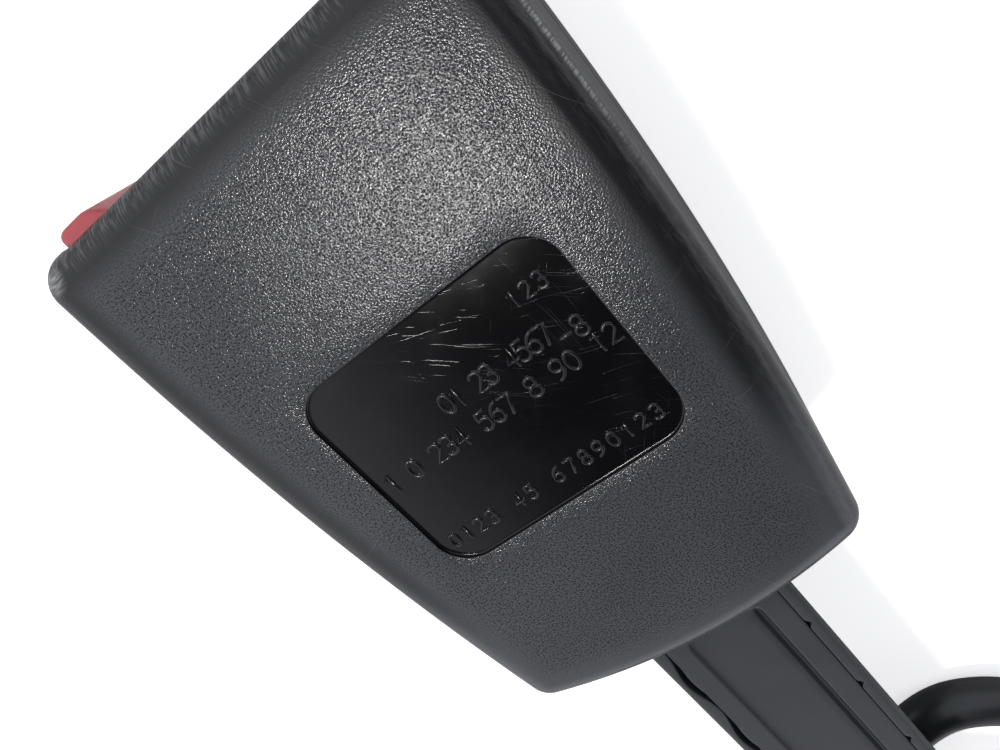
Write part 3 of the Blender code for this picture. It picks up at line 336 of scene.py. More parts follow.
def closed_surface(name, points, first="cap", last="cap"):
    """A closed mesh through points[row, column], where every row is a closed ring.

    Neighbouring points are joined into quads. first and last say what closes the two end rings:
    "cap" is a flat polygon, "ring" joins the last ring to the first, and a point is a pole that
    the ring is fanned to.
    """
    rows, columns = points.shape[:2]
    index = np.arange(rows * columns).reshape(rows, columns)
    faces = quads_between(index)
    vertices = points.reshape(-1, 3).tolist()
    if last == "ring":
        faces += quads_between(index[[-1, 0]])
    for end, ring in ((first, index[0][::-1].tolist()), (last, index[-1].tolist())):
        if isinstance(end, str):
            if end == "cap":
                faces.append(ring)
            continue
        pole = len(vertices)
        vertices.append(list(end))
        faces += [[pole, a, b] for a, b in zip(ring, ring[1:] + ring[:1])]
    return mesh_piece(name, vertices, faces)


def turn_outwards(mesh):
    """Flips a closed mesh whose enclosed volume is negative."""
    shape = bmesh.new()
    shape.from_mesh(mesh)
    inside_out = shape.calc_volume(signed=True) < 0
    shape.free()
    if inside_out:
        mesh.flip_normals()


def open_edges(mesh):
    """How many of a mesh's edges don't lie between exactly two faces."""
    loops = np.empty(len(mesh.loops), dtype=np.int32)
    mesh.loops.foreach_get("edge_index", loops)
    return int(np.count_nonzero(np.bincount(loops, minlength=len(mesh.edges)) != 2))


def block(name, low, high):
    """A box between two corners."""
    size = [b - a for a, b in zip(low, high)]
    middle = [(a + b) / 2 for a, b in zip(low, high)]
    shape = bmesh.new()
    bmesh.ops.create_cube(shape, size=1, matrix=Matrix.Translation(middle) @ Matrix.Diagonal((*size, 1)))
    mesh = bpy.data.meshes.new(name)
    shape.to_mesh(mesh)
    shape.free()
    return new_piece(name, mesh)


def combine(piece, tool, operation="DIFFERENCE"):
    """Cuts the tool out of the piece or joins it on, keeps the result and drops the tool.

    Raises an error if the result isn't closed.
    """
    step = piece.modifiers.new("combine", "BOOLEAN")
    step.operation = operation
    step.solver = "EXACT"
    step.object = tool
    graph = bpy.context.evaluated_depsgraph_get()
    mesh = bpy.data.meshes.new_from_object(piece.evaluated_get(graph))
    piece.modifiers.clear()
    piece.data = mesh
    bpy.data.objects.remove(tool, do_unlink=True)
    if open_edges(mesh):
        raise RuntimeError(f"{piece.name} isn't closed after a cut or a join")


def dress(piece, body, nodes, slot, *paints, sharp=35):
    """Shades the piece, gives it its materials, seats it on its body and hides the solids that it stands for.
    """
    if piece.type == "MESH" and not piece.data.polygons:
        raise RuntimeError(f"{piece.name} has no faces")
    piece.data.materials.clear()
    for paint in paints:
        piece.data.materials.append(paint)
    if piece.type == "MESH":
        piece.data.shade_smooth()
        piece.data.set_sharp_from_angle(angle=math.radians(sharp))
    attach(piece, body)
    if nodes:
        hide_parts(*nodes)
    return piece


def arc_profile(centre, radius, start, end, steps):
    """Points (outward, height) of an arc about a centre, from one angle to another, in degrees."""
    turn = np.radians(np.linspace(start, end, steps + 1))
    return [(centre[0] + radius * math.cos(a), centre[1] + radius * math.sin(a)) for a in turn]


def line_stretch(start, end, normal):
    """Base points along a straight side, their common normal and no reach; the last point is left out."""
    share = np.linspace(0, 1, SIDE_POINTS, endpoint=False)[:, None]
    base = np.array(start) * (1 - share) + np.array(end) * share
    return base, np.tile(np.array(normal, float), (SIDE_POINTS, 1)), np.zeros(SIDE_POINTS)


def arc_stretch(centre, radius, start, end, count):
    """An arc as its centre, its normals (cos, sin) and its radius as reach; the last point is left out."""
    turn = np.linspace(start, end, count, endpoint=False)
    base = np.tile(np.array(centre, float), (count, 1))
    return base, np.stack([np.cos(turn), np.sin(turn)], axis=1), np.full(count, float(radius))


def join_stretches(stretches):
    """One closed ring's bases, normals and reaches from its stretches."""
    return tuple(np.concatenate([stretch[part] for stretch in stretches]) for part in range(3))


def drawn_in(ring, inset):
    """The ring's points at an inset: base + (reach - inset) * normal."""
    base, normals, reach = ring
    return base + (reach - inset)[:, None] * normals


def case_ring():
    """The case's plan: a straight front, round corners, two long side arcs and the bowed end.

    Each corner's centre keeps the corner radius from both lines that it joins.
    """
    side_x = CASE_HALF_WIDTH - CASE_SIDE_RADIUS
    side = CASE_SIDE_RADIUS - CASE_CORNER
    end_y = CASE_BACK_Y - CASE_END_RADIUS
    end = CASE_END_RADIUS - CASE_CORNER
    front_y = CASE_FRONT_Y + CASE_CORNER
    front_x = side_x + math.sqrt(side**2 - (front_y - CASE_WIDEST_Y) ** 2)
    apart = Vector((-side_x, end_y - CASE_WIDEST_Y))
    along = (side**2 - end**2 + apart.length_squared) / (2 * apart.length)
    aside = math.sqrt(side**2 - along**2)
    way = apart.normalized()
    back_x = side_x + way.x * along - way.y * aside
    back_y = CASE_WIDEST_Y + way.y * along + way.x * aside
    low = math.atan2(front_y - CASE_WIDEST_Y, front_x - side_x)
    high = math.atan2(back_y - CASE_WIDEST_Y, back_x - side_x)
    turn = math.atan2(back_y - end_y, back_x)
    half = math.pi / 2
    return join_stretches([
        line_stretch((-front_x, CASE_FRONT_Y), (front_x, CASE_FRONT_Y), (0, -1)),
        arc_stretch((front_x, front_y), CASE_CORNER, -half, low, CORNER_POINTS),
        arc_stretch((side_x, CASE_WIDEST_Y), CASE_SIDE_RADIUS, low, high, SIDE_POINTS),
        arc_stretch((back_x, back_y), CASE_CORNER, high, turn, CORNER_POINTS),
        arc_stretch((0, end_y), CASE_END_RADIUS, turn, math.pi - turn, SIDE_POINTS),
        arc_stretch((-back_x, back_y), CASE_CORNER, math.pi - turn, math.pi - high, CORNER_POINTS),
        arc_stretch((-side_x, CASE_WIDEST_Y), CASE_SIDE_RADIUS, math.pi - high, math.pi - low, SIDE_POINTS),
        arc_stretch((-front_x, front_y), CASE_CORNER, math.pi - low, 3 * half, CORNER_POINTS),
    ])


def panel_ring(half_x, half_y, corner, middle=(0, 0)):
    """A rounded rectangle about a middle, in the same order of stretches as the case's plan."""
    mx, my = middle
    x = half_x - corner
    y = half_y - corner
    half = math.pi / 2
    return join_stretches([
        line_stretch((mx - x, my - half_y), (mx + x, my - half_y), (0, -1)),
        arc_stretch((mx + x, my - y), corner, -half, 0, CORNER_POINTS),
        line_stretch((mx + half_x, my - y), (mx + half_x, my + y), (1, 0)),
        arc_stretch((mx + x, my + y), corner, 0, half, CORNER_POINTS),
        line_stretch((mx + x, my + half_y), (mx - x, my + half_y), (0, 1)),
        arc_stretch((mx - x, my + y), corner, half, 2 * half, CORNER_POINTS),
        line_stretch((mx - half_x, my + y), (mx - half_x, my - y), (-1, 0)),
        arc_stretch((mx - x, my - y), corner, 2 * half, 3 * half, CORNER_POINTS),
    ])


def eased(share):
    """A share from 0 to 1 with soft ends: 3 s^2 - 2 s^3."""
    return share * share * (3 - 2 * share)


def at_height(ring, z):
    """A flat ring lifted to a height."""
    return np.column_stack([ring, np.full(len(ring), z)])


def facing_front(ring, y):
    """A ring drawn in X and Z, placed at y."""
    return np.column_stack([ring[:, 0], np.broadcast_to(y, len(ring)), ring[:, 1]])


def case_rows(profile):
    """Rings of the case's plan, one for each (outward, height) point of the profile."""
    plan = case_ring()
    return [at_height(drawn_in(plan, -out), z) for out, z in profile]


def pocket_mouth():
    """The cutter for the button's pocket: a rounded opening whose mouth flares by a quarter round."""
    middle_z = CASE_TOP_Z / 2
    mouth = panel_ring(POCKET_HALF_WIDTH, middle_z - WALL, POCKET_CORNER, (0, middle_z))
    reach = [(1.5 * POCKET_FLARE, CASE_FRONT_Y - OVERSHOOT)]
    for angle in np.radians(np.linspace(0, 90, 7)):
        out = POCKET_FLARE * (1 - math.sin(angle))
        back = POCKET_FLARE * (1 - math.cos(angle))
        reach.append((out, CASE_FRONT_Y + back - HAIR))
    reach.append((0, CASE_FRONT_Y + WALL + OVERSHOOT))
    rows = [facing_front(drawn_in(mouth, -out), y) for out, y in reach]
    return closed_surface("pocket_mouth", np.stack(rows))


def stalk_mouth():
    """The cutter for the opening that the sleeve comes out of, a little wider than the sleeve."""
    top = SLEEVE_HIGH.z + GAP
    foot = SLEEVE_LOW.z - GAP
    section = rounded_outline([
        (SLEEVE_TOP_HALF + GAP, top, SLEEVE_TOP_CORNER),
        (-SLEEVE_TOP_HALF - GAP, top, SLEEVE_TOP_CORNER),
        (-SLEEVE_FOOT_HALF - GAP, foot, SLEEVE_FOOT_CORNER),
        (SLEEVE_FOOT_HALF + GAP, foot, SLEEVE_FOOT_CORNER),
    ])
    ends = (CASE_BACK_Y - WALL - 2 * OVERSHOOT, CASE_BACK_Y + OVERSHOOT)
    return closed_surface("stalk_mouth", np.stack([facing_front(section, y) for y in ends]))


def rounded_outline(corners, steps=6):
    """A closed outline through (x, y, radius) corners, each an arc that touches both its edges."""
    outline = []
    for place, (x, y, radius) in enumerate(corners):
        here = Vector((x, y))
        before = (Vector(corners[place - 1][:2]) - here).normalized()
        after = (Vector(corners[(place + 1) % len(corners)][:2]) - here).normalized()
        half = before.angle(after) / 2
        centre = here + (before + after).normalized() * radius / math.sin(half)
        first = here + before * radius / math.tan(half) - centre
        last = here + after * radius / math.tan(half) - centre
        start = math.atan2(first.y, first.x)
        sweep = (math.atan2(last.y, last.x) - start + math.pi) % (2 * math.pi) - math.pi
        for turn in np.linspace(start, start + sweep, steps + 1):
            outline.append((centre.x + radius * math.cos(turn), centre.y + radius * math.sin(turn)))
    return np.array(outline)


def make_rear_shell(case):
    """The label side as one closed surface.

    Rings run from the middle of the recess out to its wall, over the flat face, round the case's
    edge, down the side, round the rebate at the seam and back under the ceiling to the middle.
    """
    edge = case.edge_radius
    floor_z = CASE_TOP_Z - case.label_depth
    label = panel_ring(*LABEL_HALF, LABEL_CORNER)
    flat = drawn_in(label, 4 * LABEL_EDGE)
    rows = [at_height(flat * share, floor_z) for share in (0.35, 0.7, 1.0)]
    wall = arc_profile((-2 * LABEL_EDGE, floor_z + LABEL_EDGE), LABEL_EDGE, -90, 0, 4)
    wall += arc_profile((0, CASE_TOP_Z - LABEL_EDGE), LABEL_EDGE, 180, 90, 4)
    rows += [at_height(drawn_in(label, -out), z) for out, z in wall]
    inner = rows[-1][:, :2]
    outer = drawn_in(case_ring(), edge)
    for share in np.linspace(0, 1, 9)[1:-1]:
        rows.append(at_height(inner * (1 - share) + outer * share, CASE_TOP_Z))
    seam = SEAM_Z + SEAM_GAP / 2
    rebate = SEAM_Z + LIP_HEIGHT + SEAM_GAP
    ceiling = CASE_TOP_Z - WALL
    inside = edge - WALL
    profile = arc_profile((-edge, CASE_TOP_Z - edge), edge, 90, 0, 16)
    profile += [(0, z) for z in np.linspace(CASE_TOP_Z - edge, seam + SEAM_EDGE, 6)[1:-1]]
    profile += arc_profile((-SEAM_EDGE, seam + SEAM_EDGE), SEAM_EDGE, 0, -90, 4)
    profile += [(SEAM_GAP - LIP_INSET, seam), (SEAM_GAP - LIP_INSET, rebate)]
    profile += [(-WALL, rebate), (-WALL, REAR_RING_Z)]
    profile += arc_profile((-edge, ceiling - inside), inside, 0, 90, 4)
    rows += case_rows(profile)
    rows += [at_height(rows[-1][:, :2] * share, ceiling) for share in (0.66, 0.33)]
    shell = closed_surface("rear_shell_skin", np.stack(rows), (0, 0, floor_z), (0, 0, ceiling))
    combine(shell, pocket_mouth())
    combine(shell, stalk_mouth())
    return shell


def case_inset(points):
    """How far each point lies inside the case's plan: the least of its distances to the four sides."""
    x, y = np.abs(points[:, 0]), points[:, 1]
    side = CASE_SIDE_RADIUS - np.hypot(x - CASE_HALF_WIDTH + CASE_SIDE_RADIUS, y - CASE_WIDEST_Y)
    end = CASE_END_RADIUS - np.hypot(x, y - CASE_BACK_Y + CASE_END_RADIUS)
    return np.minimum(np.minimum(side, end), y - CASE_FRONT_Y)


def mesh_points(mesh):
    """A mesh's vertices as one array."""
    points = np.empty(len(mesh.vertices) * 3)
    mesh.vertices.foreach_get("co", points)
    return points.reshape(-1, 3)


def store_inset(mesh):
    """Keeps each vertex's distance from the case's edge, for the finish to read."""
    layer = mesh.attributes.new("inset", "FLOAT", "POINT")
    layer.data.foreach_set("value", case_inset(mesh_points(mesh)))


def polish_recess(mesh):
    """Gives the second finish to the faces inside the label recess."""
    centres = np.empty(len(mesh.polygons) * 3)
    mesh.polygons.foreach_get("center", centres)
    x, y, z = centres.reshape(-1, 3).T
    inside = (np.abs(x) < LABEL_HALF[0]) & (np.abs(y) < LABEL_HALF[1]) & (z < CASE_TOP_Z - 0.05 * MM)
    inside &= z > CASE_TOP_Z - 1 * MM
    mesh.polygons.foreach_set("material_index", inside.astype(np.int32))


def stroke_arc(centre, radii, start, end, steps=12):
    """Points of an elliptic arc in a digit's own square, with angles in degrees."""
    turn = np.radians(np.linspace(start, end, steps + 1))
    return np.column_stack([centre[0] + radii[0] * np.cos(turn), centre[1] + radii[1] * np.sin(turn)])


def digit_strokes():
    """The strokes of the ten digits, each in a field 0.6 wide and 1 high."""
    bowl = (0.26, 0.25)
    ring = (0.27, 0.29)
    sweep = (0.59, 0.7)
    return {
        "0": [stroke_arc((0.3, 0.5), (0.27, 0.48), 90, 450, 22)],
        "1": [np.array([(0.12, 0.78), (0.34, 1.0), (0.34, 0.0)])],
        "2": [np.concatenate([stroke_arc((0.3, 0.72), bowl, 160, -40), [(0.04, 0.02), (0.58, 0.02)]])],
        "3": [stroke_arc((0.28, 0.74), bowl, 150, -90), stroke_arc((0.28, 0.26), (0.29, 0.26), 90, -150)],
        "4": [np.array([(0.44, 0.0), (0.44, 1.0), (0.04, 0.3), (0.6, 0.3)])],
        "5": [np.concatenate([
            [(0.54, 0.98), (0.12, 0.98), (0.08, 0.56)],
            stroke_arc((0.28, 0.32), (0.3, 0.32), 115, -140),
        ])],
        "6": [stroke_arc((0.3, 0.29), ring, 90, 450, 18), stroke_arc((0.62, 0.3), sweep, 180, 100)],
        "7": [np.array([(0.04, 0.98), (0.58, 0.98), (0.22, 0.0)])],
        "8": [
            stroke_arc((0.3, 0.75), (0.23, 0.24), 90, 450, 18),
            stroke_arc((0.3, 0.26), (0.28, 0.26), 90, 450, 18),
        ],
        "9": [stroke_arc((0.3, 0.7), ring, 90, 450, 18), stroke_arc((-0.02, 0.7), sweep, 0, -80)],
        "-": [np.array([(0.06, 0.45), (0.56, 0.45)])],
    }


def raised_stroke(path, radius):
    """A half-sunk round rib along a path, as rings that narrow at both ends.

    Each ring lies square to the path: point + radius * (cos(turn) * side + sin(turn) * up).
    """
    run = np.gradient(path, axis=0)
    run /= np.linalg.norm(run, axis=1)[:, None]
    side = np.stack([run[:, 1], -run[:, 0], np.zeros(len(run))], axis=1)
    up = np.array([0, 0, 1.0])
    before = [path[0] - run[0] * radius * share for share in (0.9, 0.5)]
    after = [path[-1] + run[-1] * radius * share for share in (0.5, 0.9)]
    centres = np.concatenate([before, path, after])
    sides = np.concatenate([side[:1], side[:1], side, side[-1:], side[-1:]])
    widths = np.concatenate([[0.35, 0.8], np.ones(len(path)), [0.8, 0.35]]) * radius
    turn = np.linspace(0, 2 * math.pi, 10, endpoint=False)[None, :, None]
    return centres[:, None] + widths[:, None, None] * (np.cos(turn) * sides[:, None] + np.sin(turn) * up)


def make_digits(case):
    """Raised plain digits in the recess: ribs along strokes, in rows that read along -X."""
    strokes = digit_strokes()
    floor_z = CASE_TOP_Z - case.label_depth
    vertices = []
    faces = []
    for digits, start_x, foot_y, pitch, share in DIGIT_ROWS:
        height = case.digit_height * share
        for place, digit in enumerate(digits):
            for stroke in strokes.get(digit, []):
                path = np.column_stack([
                    start_x - place * pitch - stroke[:, 0] * height,
                    foot_y - stroke[:, 1] * height,
                    np.full(len(stroke), floor_z),
                ])
                rings = raised_stroke(path, DIGIT_STROKE)
                rows, columns = rings.shape[:2]
                index = np.arange(rows * columns).reshape(rows, columns) + len(vertices)
                faces += quads_between(index)
                faces += [index[0][::-1].tolist(), index[-1].tolist()]
                vertices += rings.reshape(-1, 3).tolist()
    return mesh_piece("recess_digits", vertices, faces)


def make_front_shell(case):
    """The side that the buckle lies on, as one closed surface with the lip that enters the other shell."""
    edge = case.edge_radius
    seam = SEAM_Z - SEAM_GAP / 2
    inside = edge - WALL
    lip_top = SEAM_Z + LIP_HEIGHT
    profile = arc_profile((-edge, edge), edge, -90, 0, 16)
    profile += [(0, z) for z in np.linspace(edge, seam - SEAM_EDGE, 5)[1:-1]]
    profile += arc_profile((-SEAM_EDGE, seam - SEAM_EDGE), SEAM_EDGE, 0, 90, 4)
    profile += [(-LIP_INSET, seam), (-LIP_INSET, lip_top), (-WALL, lip_top), (-WALL, FRONT_RING_Z)]
    profile += arc_profile((-edge, WALL + inside), inside, 0, -90, 4)
    rows = case_rows(profile)
    outer = [at_height(rows[0][:, :2] * share, 0) for share in (0.33, 0.66)]
    inner = [at_height(rows[-1][:, :2] * share, WALL) for share in (0.66, 0.33)]
    shell = closed_surface("front_shell_skin", np.stack(outer + rows + inner), (0, 0, 0), (0, 0, WALL))
    combine(shell, pocket_mouth())
    combine(shell, stalk_mouth())
    return shell


def dish_depth(x, depth):
    """How deep the button's face lies at x: ears, a convex arc, a straight slope, a concave arc, a floor.

    The two arcs touch the lines that they join, so the depth is piecewise: 0, r - sqrt(r^2 - u^2),
    a straight line, then depth - (s - sqrt(s^2 - v^2)), and the full depth in the middle.
    """
    slope = BUTTON_DISH_SLOPE
    run = depth / math.tan(slope)
    ear = BUTTON_EAR_RADIUS * math.tan(slope / 2)
    sweep = BUTTON_DISH_SWEEP * math.tan(slope / 2)
    inward = BUTTON_DISH_HALF - np.abs(x)
    u = np.clip(inward + ear, 0, BUTTON_EAR_RADIUS * math.sin(slope))
    v = np.clip(run + sweep - inward, 0, BUTTON_DISH_SWEEP * math.sin(slope))
    down = BUTTON_EAR_RADIUS - np.sqrt(BUTTON_EAR_RADIUS**2 - u**2)
    up = BUTTON_DISH_SWEEP - np.sqrt(BUTTON_DISH_SWEEP**2 - v**2)
    line = np.clip(inward, ear * math.cos(slope), run - sweep * math.cos(slope)) * math.tan(slope)
    result = np.where(inward < ear * math.cos(slope), down, line)
    return np.where(inward > run - sweep * math.cos(slope), depth - up, result)


def make_release_button(button):
    """The red cap: rings of a rounded rectangle over the dished face, down the sides and into its hollow.

    The face lies at front + dish(x) + lean * (top - z).
    """
    half_z = (BUTTON_HIGH.z - BUTTON_LOW.z) / 2
    middle_z = (BUTTON_HIGH.z + BUTTON_LOW.z) / 2
    middle = np.array([0, middle_z])
    outline = panel_ring(POCKET_HALF_WIDTH - BUTTON_GAP, half_z, POCKET_CORNER - BUTTON_GAP, middle)
    edge = button.edge_radius

    def face(ring):
        lean = BUTTON_LEAN * (BUTTON_HIGH.z - ring[:, 1])
        return BUTTON_LOW.y + dish_depth(ring[:, 0], button.dish_depth) + lean

    rows = []
    flat = drawn_in(outline, edge)
    for share in np.linspace(0.02, 1, 30)[:-1]:
        ring = middle + (flat - middle) * share
        rows.append(facing_front(ring, face(ring)))
    for turn in np.radians(np.linspace(0, 90, 9)):
        ring = drawn_in(outline, edge * (1 - math.sin(turn)))
        rows.append(facing_front(ring, face(ring) + edge * (1 - math.cos(turn))))
    inner = drawn_in(outline, BUTTON_WALL)
    lean_back = BUTTON_LEAN * 2 * half_z
    floor = BUTTON_LOW.y + button.dish_depth + lean_back + BUTTON_WALL
    rows.append(facing_front(drawn_in(outline, 0), BUTTON_BACK_Y))
    rows.append(facing_front(inner, BUTTON_BACK_Y))
    rows.append(facing_front(inner, floor))
    first = (0, BUTTON_LOW.y + button.dish_depth + BUTTON_LEAN * half_z, middle_z)
    cap = closed_surface("release_button_skin", np.stack(rows), first, (0, floor, middle_z))
    notch_half = LINER_HIGH.x + BUTTON_GAP
    notch = block(
        "notch",
        (-notch_half, BUTTON_LOW.y - OVERSHOOT, LINER_LOW.z - BUTTON_GAP),
        (notch_half, BUTTON_BACK_Y + OVERSHOOT, CASE_TOP_Z),
    )
    combine(cap, notch)
    for side in (-1, 1):
        low_x, high_x = sorted((side * ARM_OUTER, side * (ARM_OUTER - ARM_WIDTH)))
        arm = block("arm", (low_x, floor - ARM_ROOT, ARM_LOW_Z), (high_x, BUTTON_HIGH.y, ARM_HIGH_Z))
        combine(cap, arm, "UNION")
    return cap


def make_slot_liner():
    """The tongue's mouth: a rounded rectangular tube whose front edge rolls into the slot."""
    middle_z = (LINER_HIGH.z + LINER_LOW.z) / 2
    half_z = (LINER_HIGH.z - LINER_LOW.z) / 2
    slot_z = (SLOT_HIGH_Z + SLOT_LOW_Z) / 2
    slot_half_z = (SLOT_HIGH_Z - SLOT_LOW_Z) / 2
    corner = 0.6 * MM
    outer = panel_ring(LINER_HIGH.x, half_z, corner, (0, middle_z))
    slot = panel_ring(SLOT_HALF_WIDTH, slot_half_z, corner, (0, slot_z))
    roll = 0.45 * MM
    rows = [(outer, 0, LINER_HIGH.y)]
    for turn in np.radians(np.linspace(0, 90, 5)):
        rows.append((outer, roll * (1 - math.cos(turn)), LINER_LOW.y + roll * (1 - math.sin(turn))))
    for turn in np.radians(np.linspace(90, 0, 5)):
        rows.append((slot, -roll * (1 - math.cos(turn)), LINER_LOW.y + roll * (1 - math.sin(turn))))
    rows.append((slot, 0, LINER_HIGH.y))
    points = [facing_front(drawn_in(ring, inset), y) for ring, inset, y in rows]
    return closed_surface("slot_liner_skin", np.stack(points), "ring", "ring")


def scallop(y):
    """The wave along the sleeve, 1 at each tooth and -1 between teeth."""
    return np.cos(2 * math.pi * (y - COVER_WAVE_Y) / COVER_PITCH)


def both_halves(half):
    """A section's right half, of (x, z, weight) points, with its mirror image, whose weights are negative."""
    half = np.array(half)
    return np.concatenate([half, (half * (-1, 1, -1))[::-1][1:-1]])


def stations(start, end, spacing):
    """Evenly spaced places from start to end, about the spacing apart."""
    return np.linspace(start, end, round((end - start) / spacing) + 1)


def make_sleeve(stalk):
    """The sleeve's channel: its section, carried along Y, with rails whose inner walls go in and out.

    Each section point is base + side * weight * shift(y), where the weight is 1 on a rail's inner
    wall and 0 elsewhere. The shift is the wave on the +X side. On the -X side it is a narrow bell
    curve at each tooth, a nick in a straight wall.
    """
    top = SLEEVE_HIGH.z
    foot = SLEEVE_LOW.z
    ledge = COVER_LOW.z - GAP
    slope = math.atan2(SLEEVE_TOP_HALF - SLEEVE_FOOT_HALF, top - foot)
    steep = -math.degrees(slope)
    half = [(0, foot, 0), (SLEEVE_FLAT_HALF, foot, 0)]
    foot_x = SLEEVE_FOOT_HALF - SLEEVE_FOOT_CORNER * math.tan(math.pi / 4 - slope / 2)
    foot_arc = arc_profile((foot_x, foot + SLEEVE_FOOT_CORNER), SLEEVE_FOOT_CORNER, -90, steep, 8)
    top_x = SLEEVE_TOP_HALF - SLEEVE_TOP_CORNER * math.tan(math.pi / 4 + slope / 2)
    top_arc = arc_profile((top_x, top - SLEEVE_TOP_CORNER), SLEEVE_TOP_CORNER, steep, 90, 8)
    half += [(x, z, 0) for x, z in foot_arc + top_arc]
    rim = 0.15 * MM
    pocket = COVER_HALF_WIDTH + GAP
    half += [(x, z, 1) for x, z in arc_profile((pocket + rim, top - rim), rim, 90, 180, 4)]
    half += [(pocket, ledge, 1), (SLEEVE_ROOM, ledge, 0), (SLEEVE_ROOM, SLEEVE_FLOOR_Z, 0)]
    half += [(SLEEVE_FLAT_HALF, SLEEVE_FLOOR_Z, 0), (0, SLEEVE_FLOOR_Z, 0)]
    section = both_halves(half)
    rows = []
    for y in stations(SLEEVE_LOW.y, SLEEVE_HIGH.y, 0.35 * MM):
        wave = stalk.rail_wave * scallop(y)
        from_tooth = (y - COVER_WAVE_Y + COVER_PITCH / 2) % COVER_PITCH - COVER_PITCH / 2
        nick = NICK_DEPTH * math.exp(-((from_tooth / NICK_WIDTH) ** 2))
        shift = np.where(section[:, 2] < 0, nick - WAVE_INSET, wave)
        x = section[:, 0] + section[:, 2] * shift
        rows.append(np.column_stack([x, np.full(len(x), y), section[:, 1]]))
    sleeve = closed_surface("sleeve_channel_skin", np.stack(rows))
    chamfer = 0.5 * MM
    boss = turned_about_x("outlet_boss", [
        (SLEEVE_FOOT_HALF, OUTLET_RADIUS),
        (OUTLET_END_X - chamfer, OUTLET_RADIUS),
        (OUTLET_END_X - 0.3 * chamfer, OUTLET_RADIUS - 0.3 * chamfer),
        (OUTLET_END_X, OUTLET_RADIUS - chamfer),
    ])
    combine(sleeve, boss, "UNION")
    ends = (SLEEVE_ROOM - OVERSHOOT, OUTLET_END_X + OVERSHOOT)
    combine(sleeve, turned_about_x("outlet_bore", [(x, OUTLET_BORE_RADIUS) for x in ends]))
    return sleeve


def turned_about_x(name, profile, sides=48):
    """A turned solid on the outlet's axis: (x, radius) points spun about it and closed by flat ends."""
    turn = np.linspace(0, 2 * math.pi, sides, endpoint=False)
    rows = [np.column_stack([np.full(sides, x), OUTLET_Y + r * np.cos(turn), OUTLET_Z + r * np.sin(turn)])
            for x, r in profile]
    return closed_surface(name, np.stack(rows))


def make_cover(stalk):
    """The sleeve's cover: its section, carried along Y, with a waving edge on the +X side and a sunk panel.

    The top is at height - depth * share - groove, where the share rises from 0 outside the panel's
    rounded outline to 1 inside it over the width of its edge, and the groove is a narrow bell curve
    along the panel's -X side that runs out at its ends.
    """
    top = COVER_HIGH.z
    edge = 0.3 * MM
    reach = COVER_HALF_WIDTH
    across = np.concatenate([
        np.linspace(0, PANEL_HALF_WIDTH - 1.4 * MM, 6),
        np.linspace(PANEL_HALF_WIDTH - 1.2 * MM, PANEL_HALF_WIDTH + 0.4 * MM, 22),
        np.linspace(PANEL_HALF_WIDTH + 0.6 * MM, reach - edge, 5),
    ])
    rim = arc_profile((reach - edge, top - edge), edge, 90, 0, 5)[1:]
    half = [(x, top, 0) for x in across] + [(x, z, 1) for x, z in rim]
    half += [(reach, COVER_LOW.z, 1), (reach - MM, COVER_LOW.z, 0), (0, COVER_LOW.z, 0)]
    section = both_halves(half)
    upper = section[:, 1] > top - HAIR / 10
    rows = []
    for y in stations(COVER_LOW.y, COVER_HIGH.y, 0.3 * MM):
        wave = stalk.cover_wave * scallop(y)
        shift = np.where(section[:, 2] < 0, 0.0, wave - WAVE_INSET)
        x = section[:, 0] + section[:, 2] * shift
        beside = np.abs(x) - PANEL_HALF_WIDTH
        beyond = max(y - PANEL_END_Y, PANEL_START_Y - y)
        away = np.hypot(np.maximum(beside + MM, 0), max(beyond + MM, 0)) - MM
        share = eased(np.clip(0.5 - away / PANEL_EDGE, 0, 1))
        bell = np.exp(-(((beside + GROOVE_INSET) / GROOVE_WIDTH) ** 2))
        groove = PANEL_GROOVE * bell * (x < 0) * min(max(-beyond / GROOVE_FADE, 0), 1)
        z = section[:, 1] - np.where(upper, PANEL_DEPTH * share + groove, 0)
        rows.append(np.column_stack([x, np.full(len(x), y), z]))
    return closed_surface("sleeve_cover_skin", np.stack(rows))


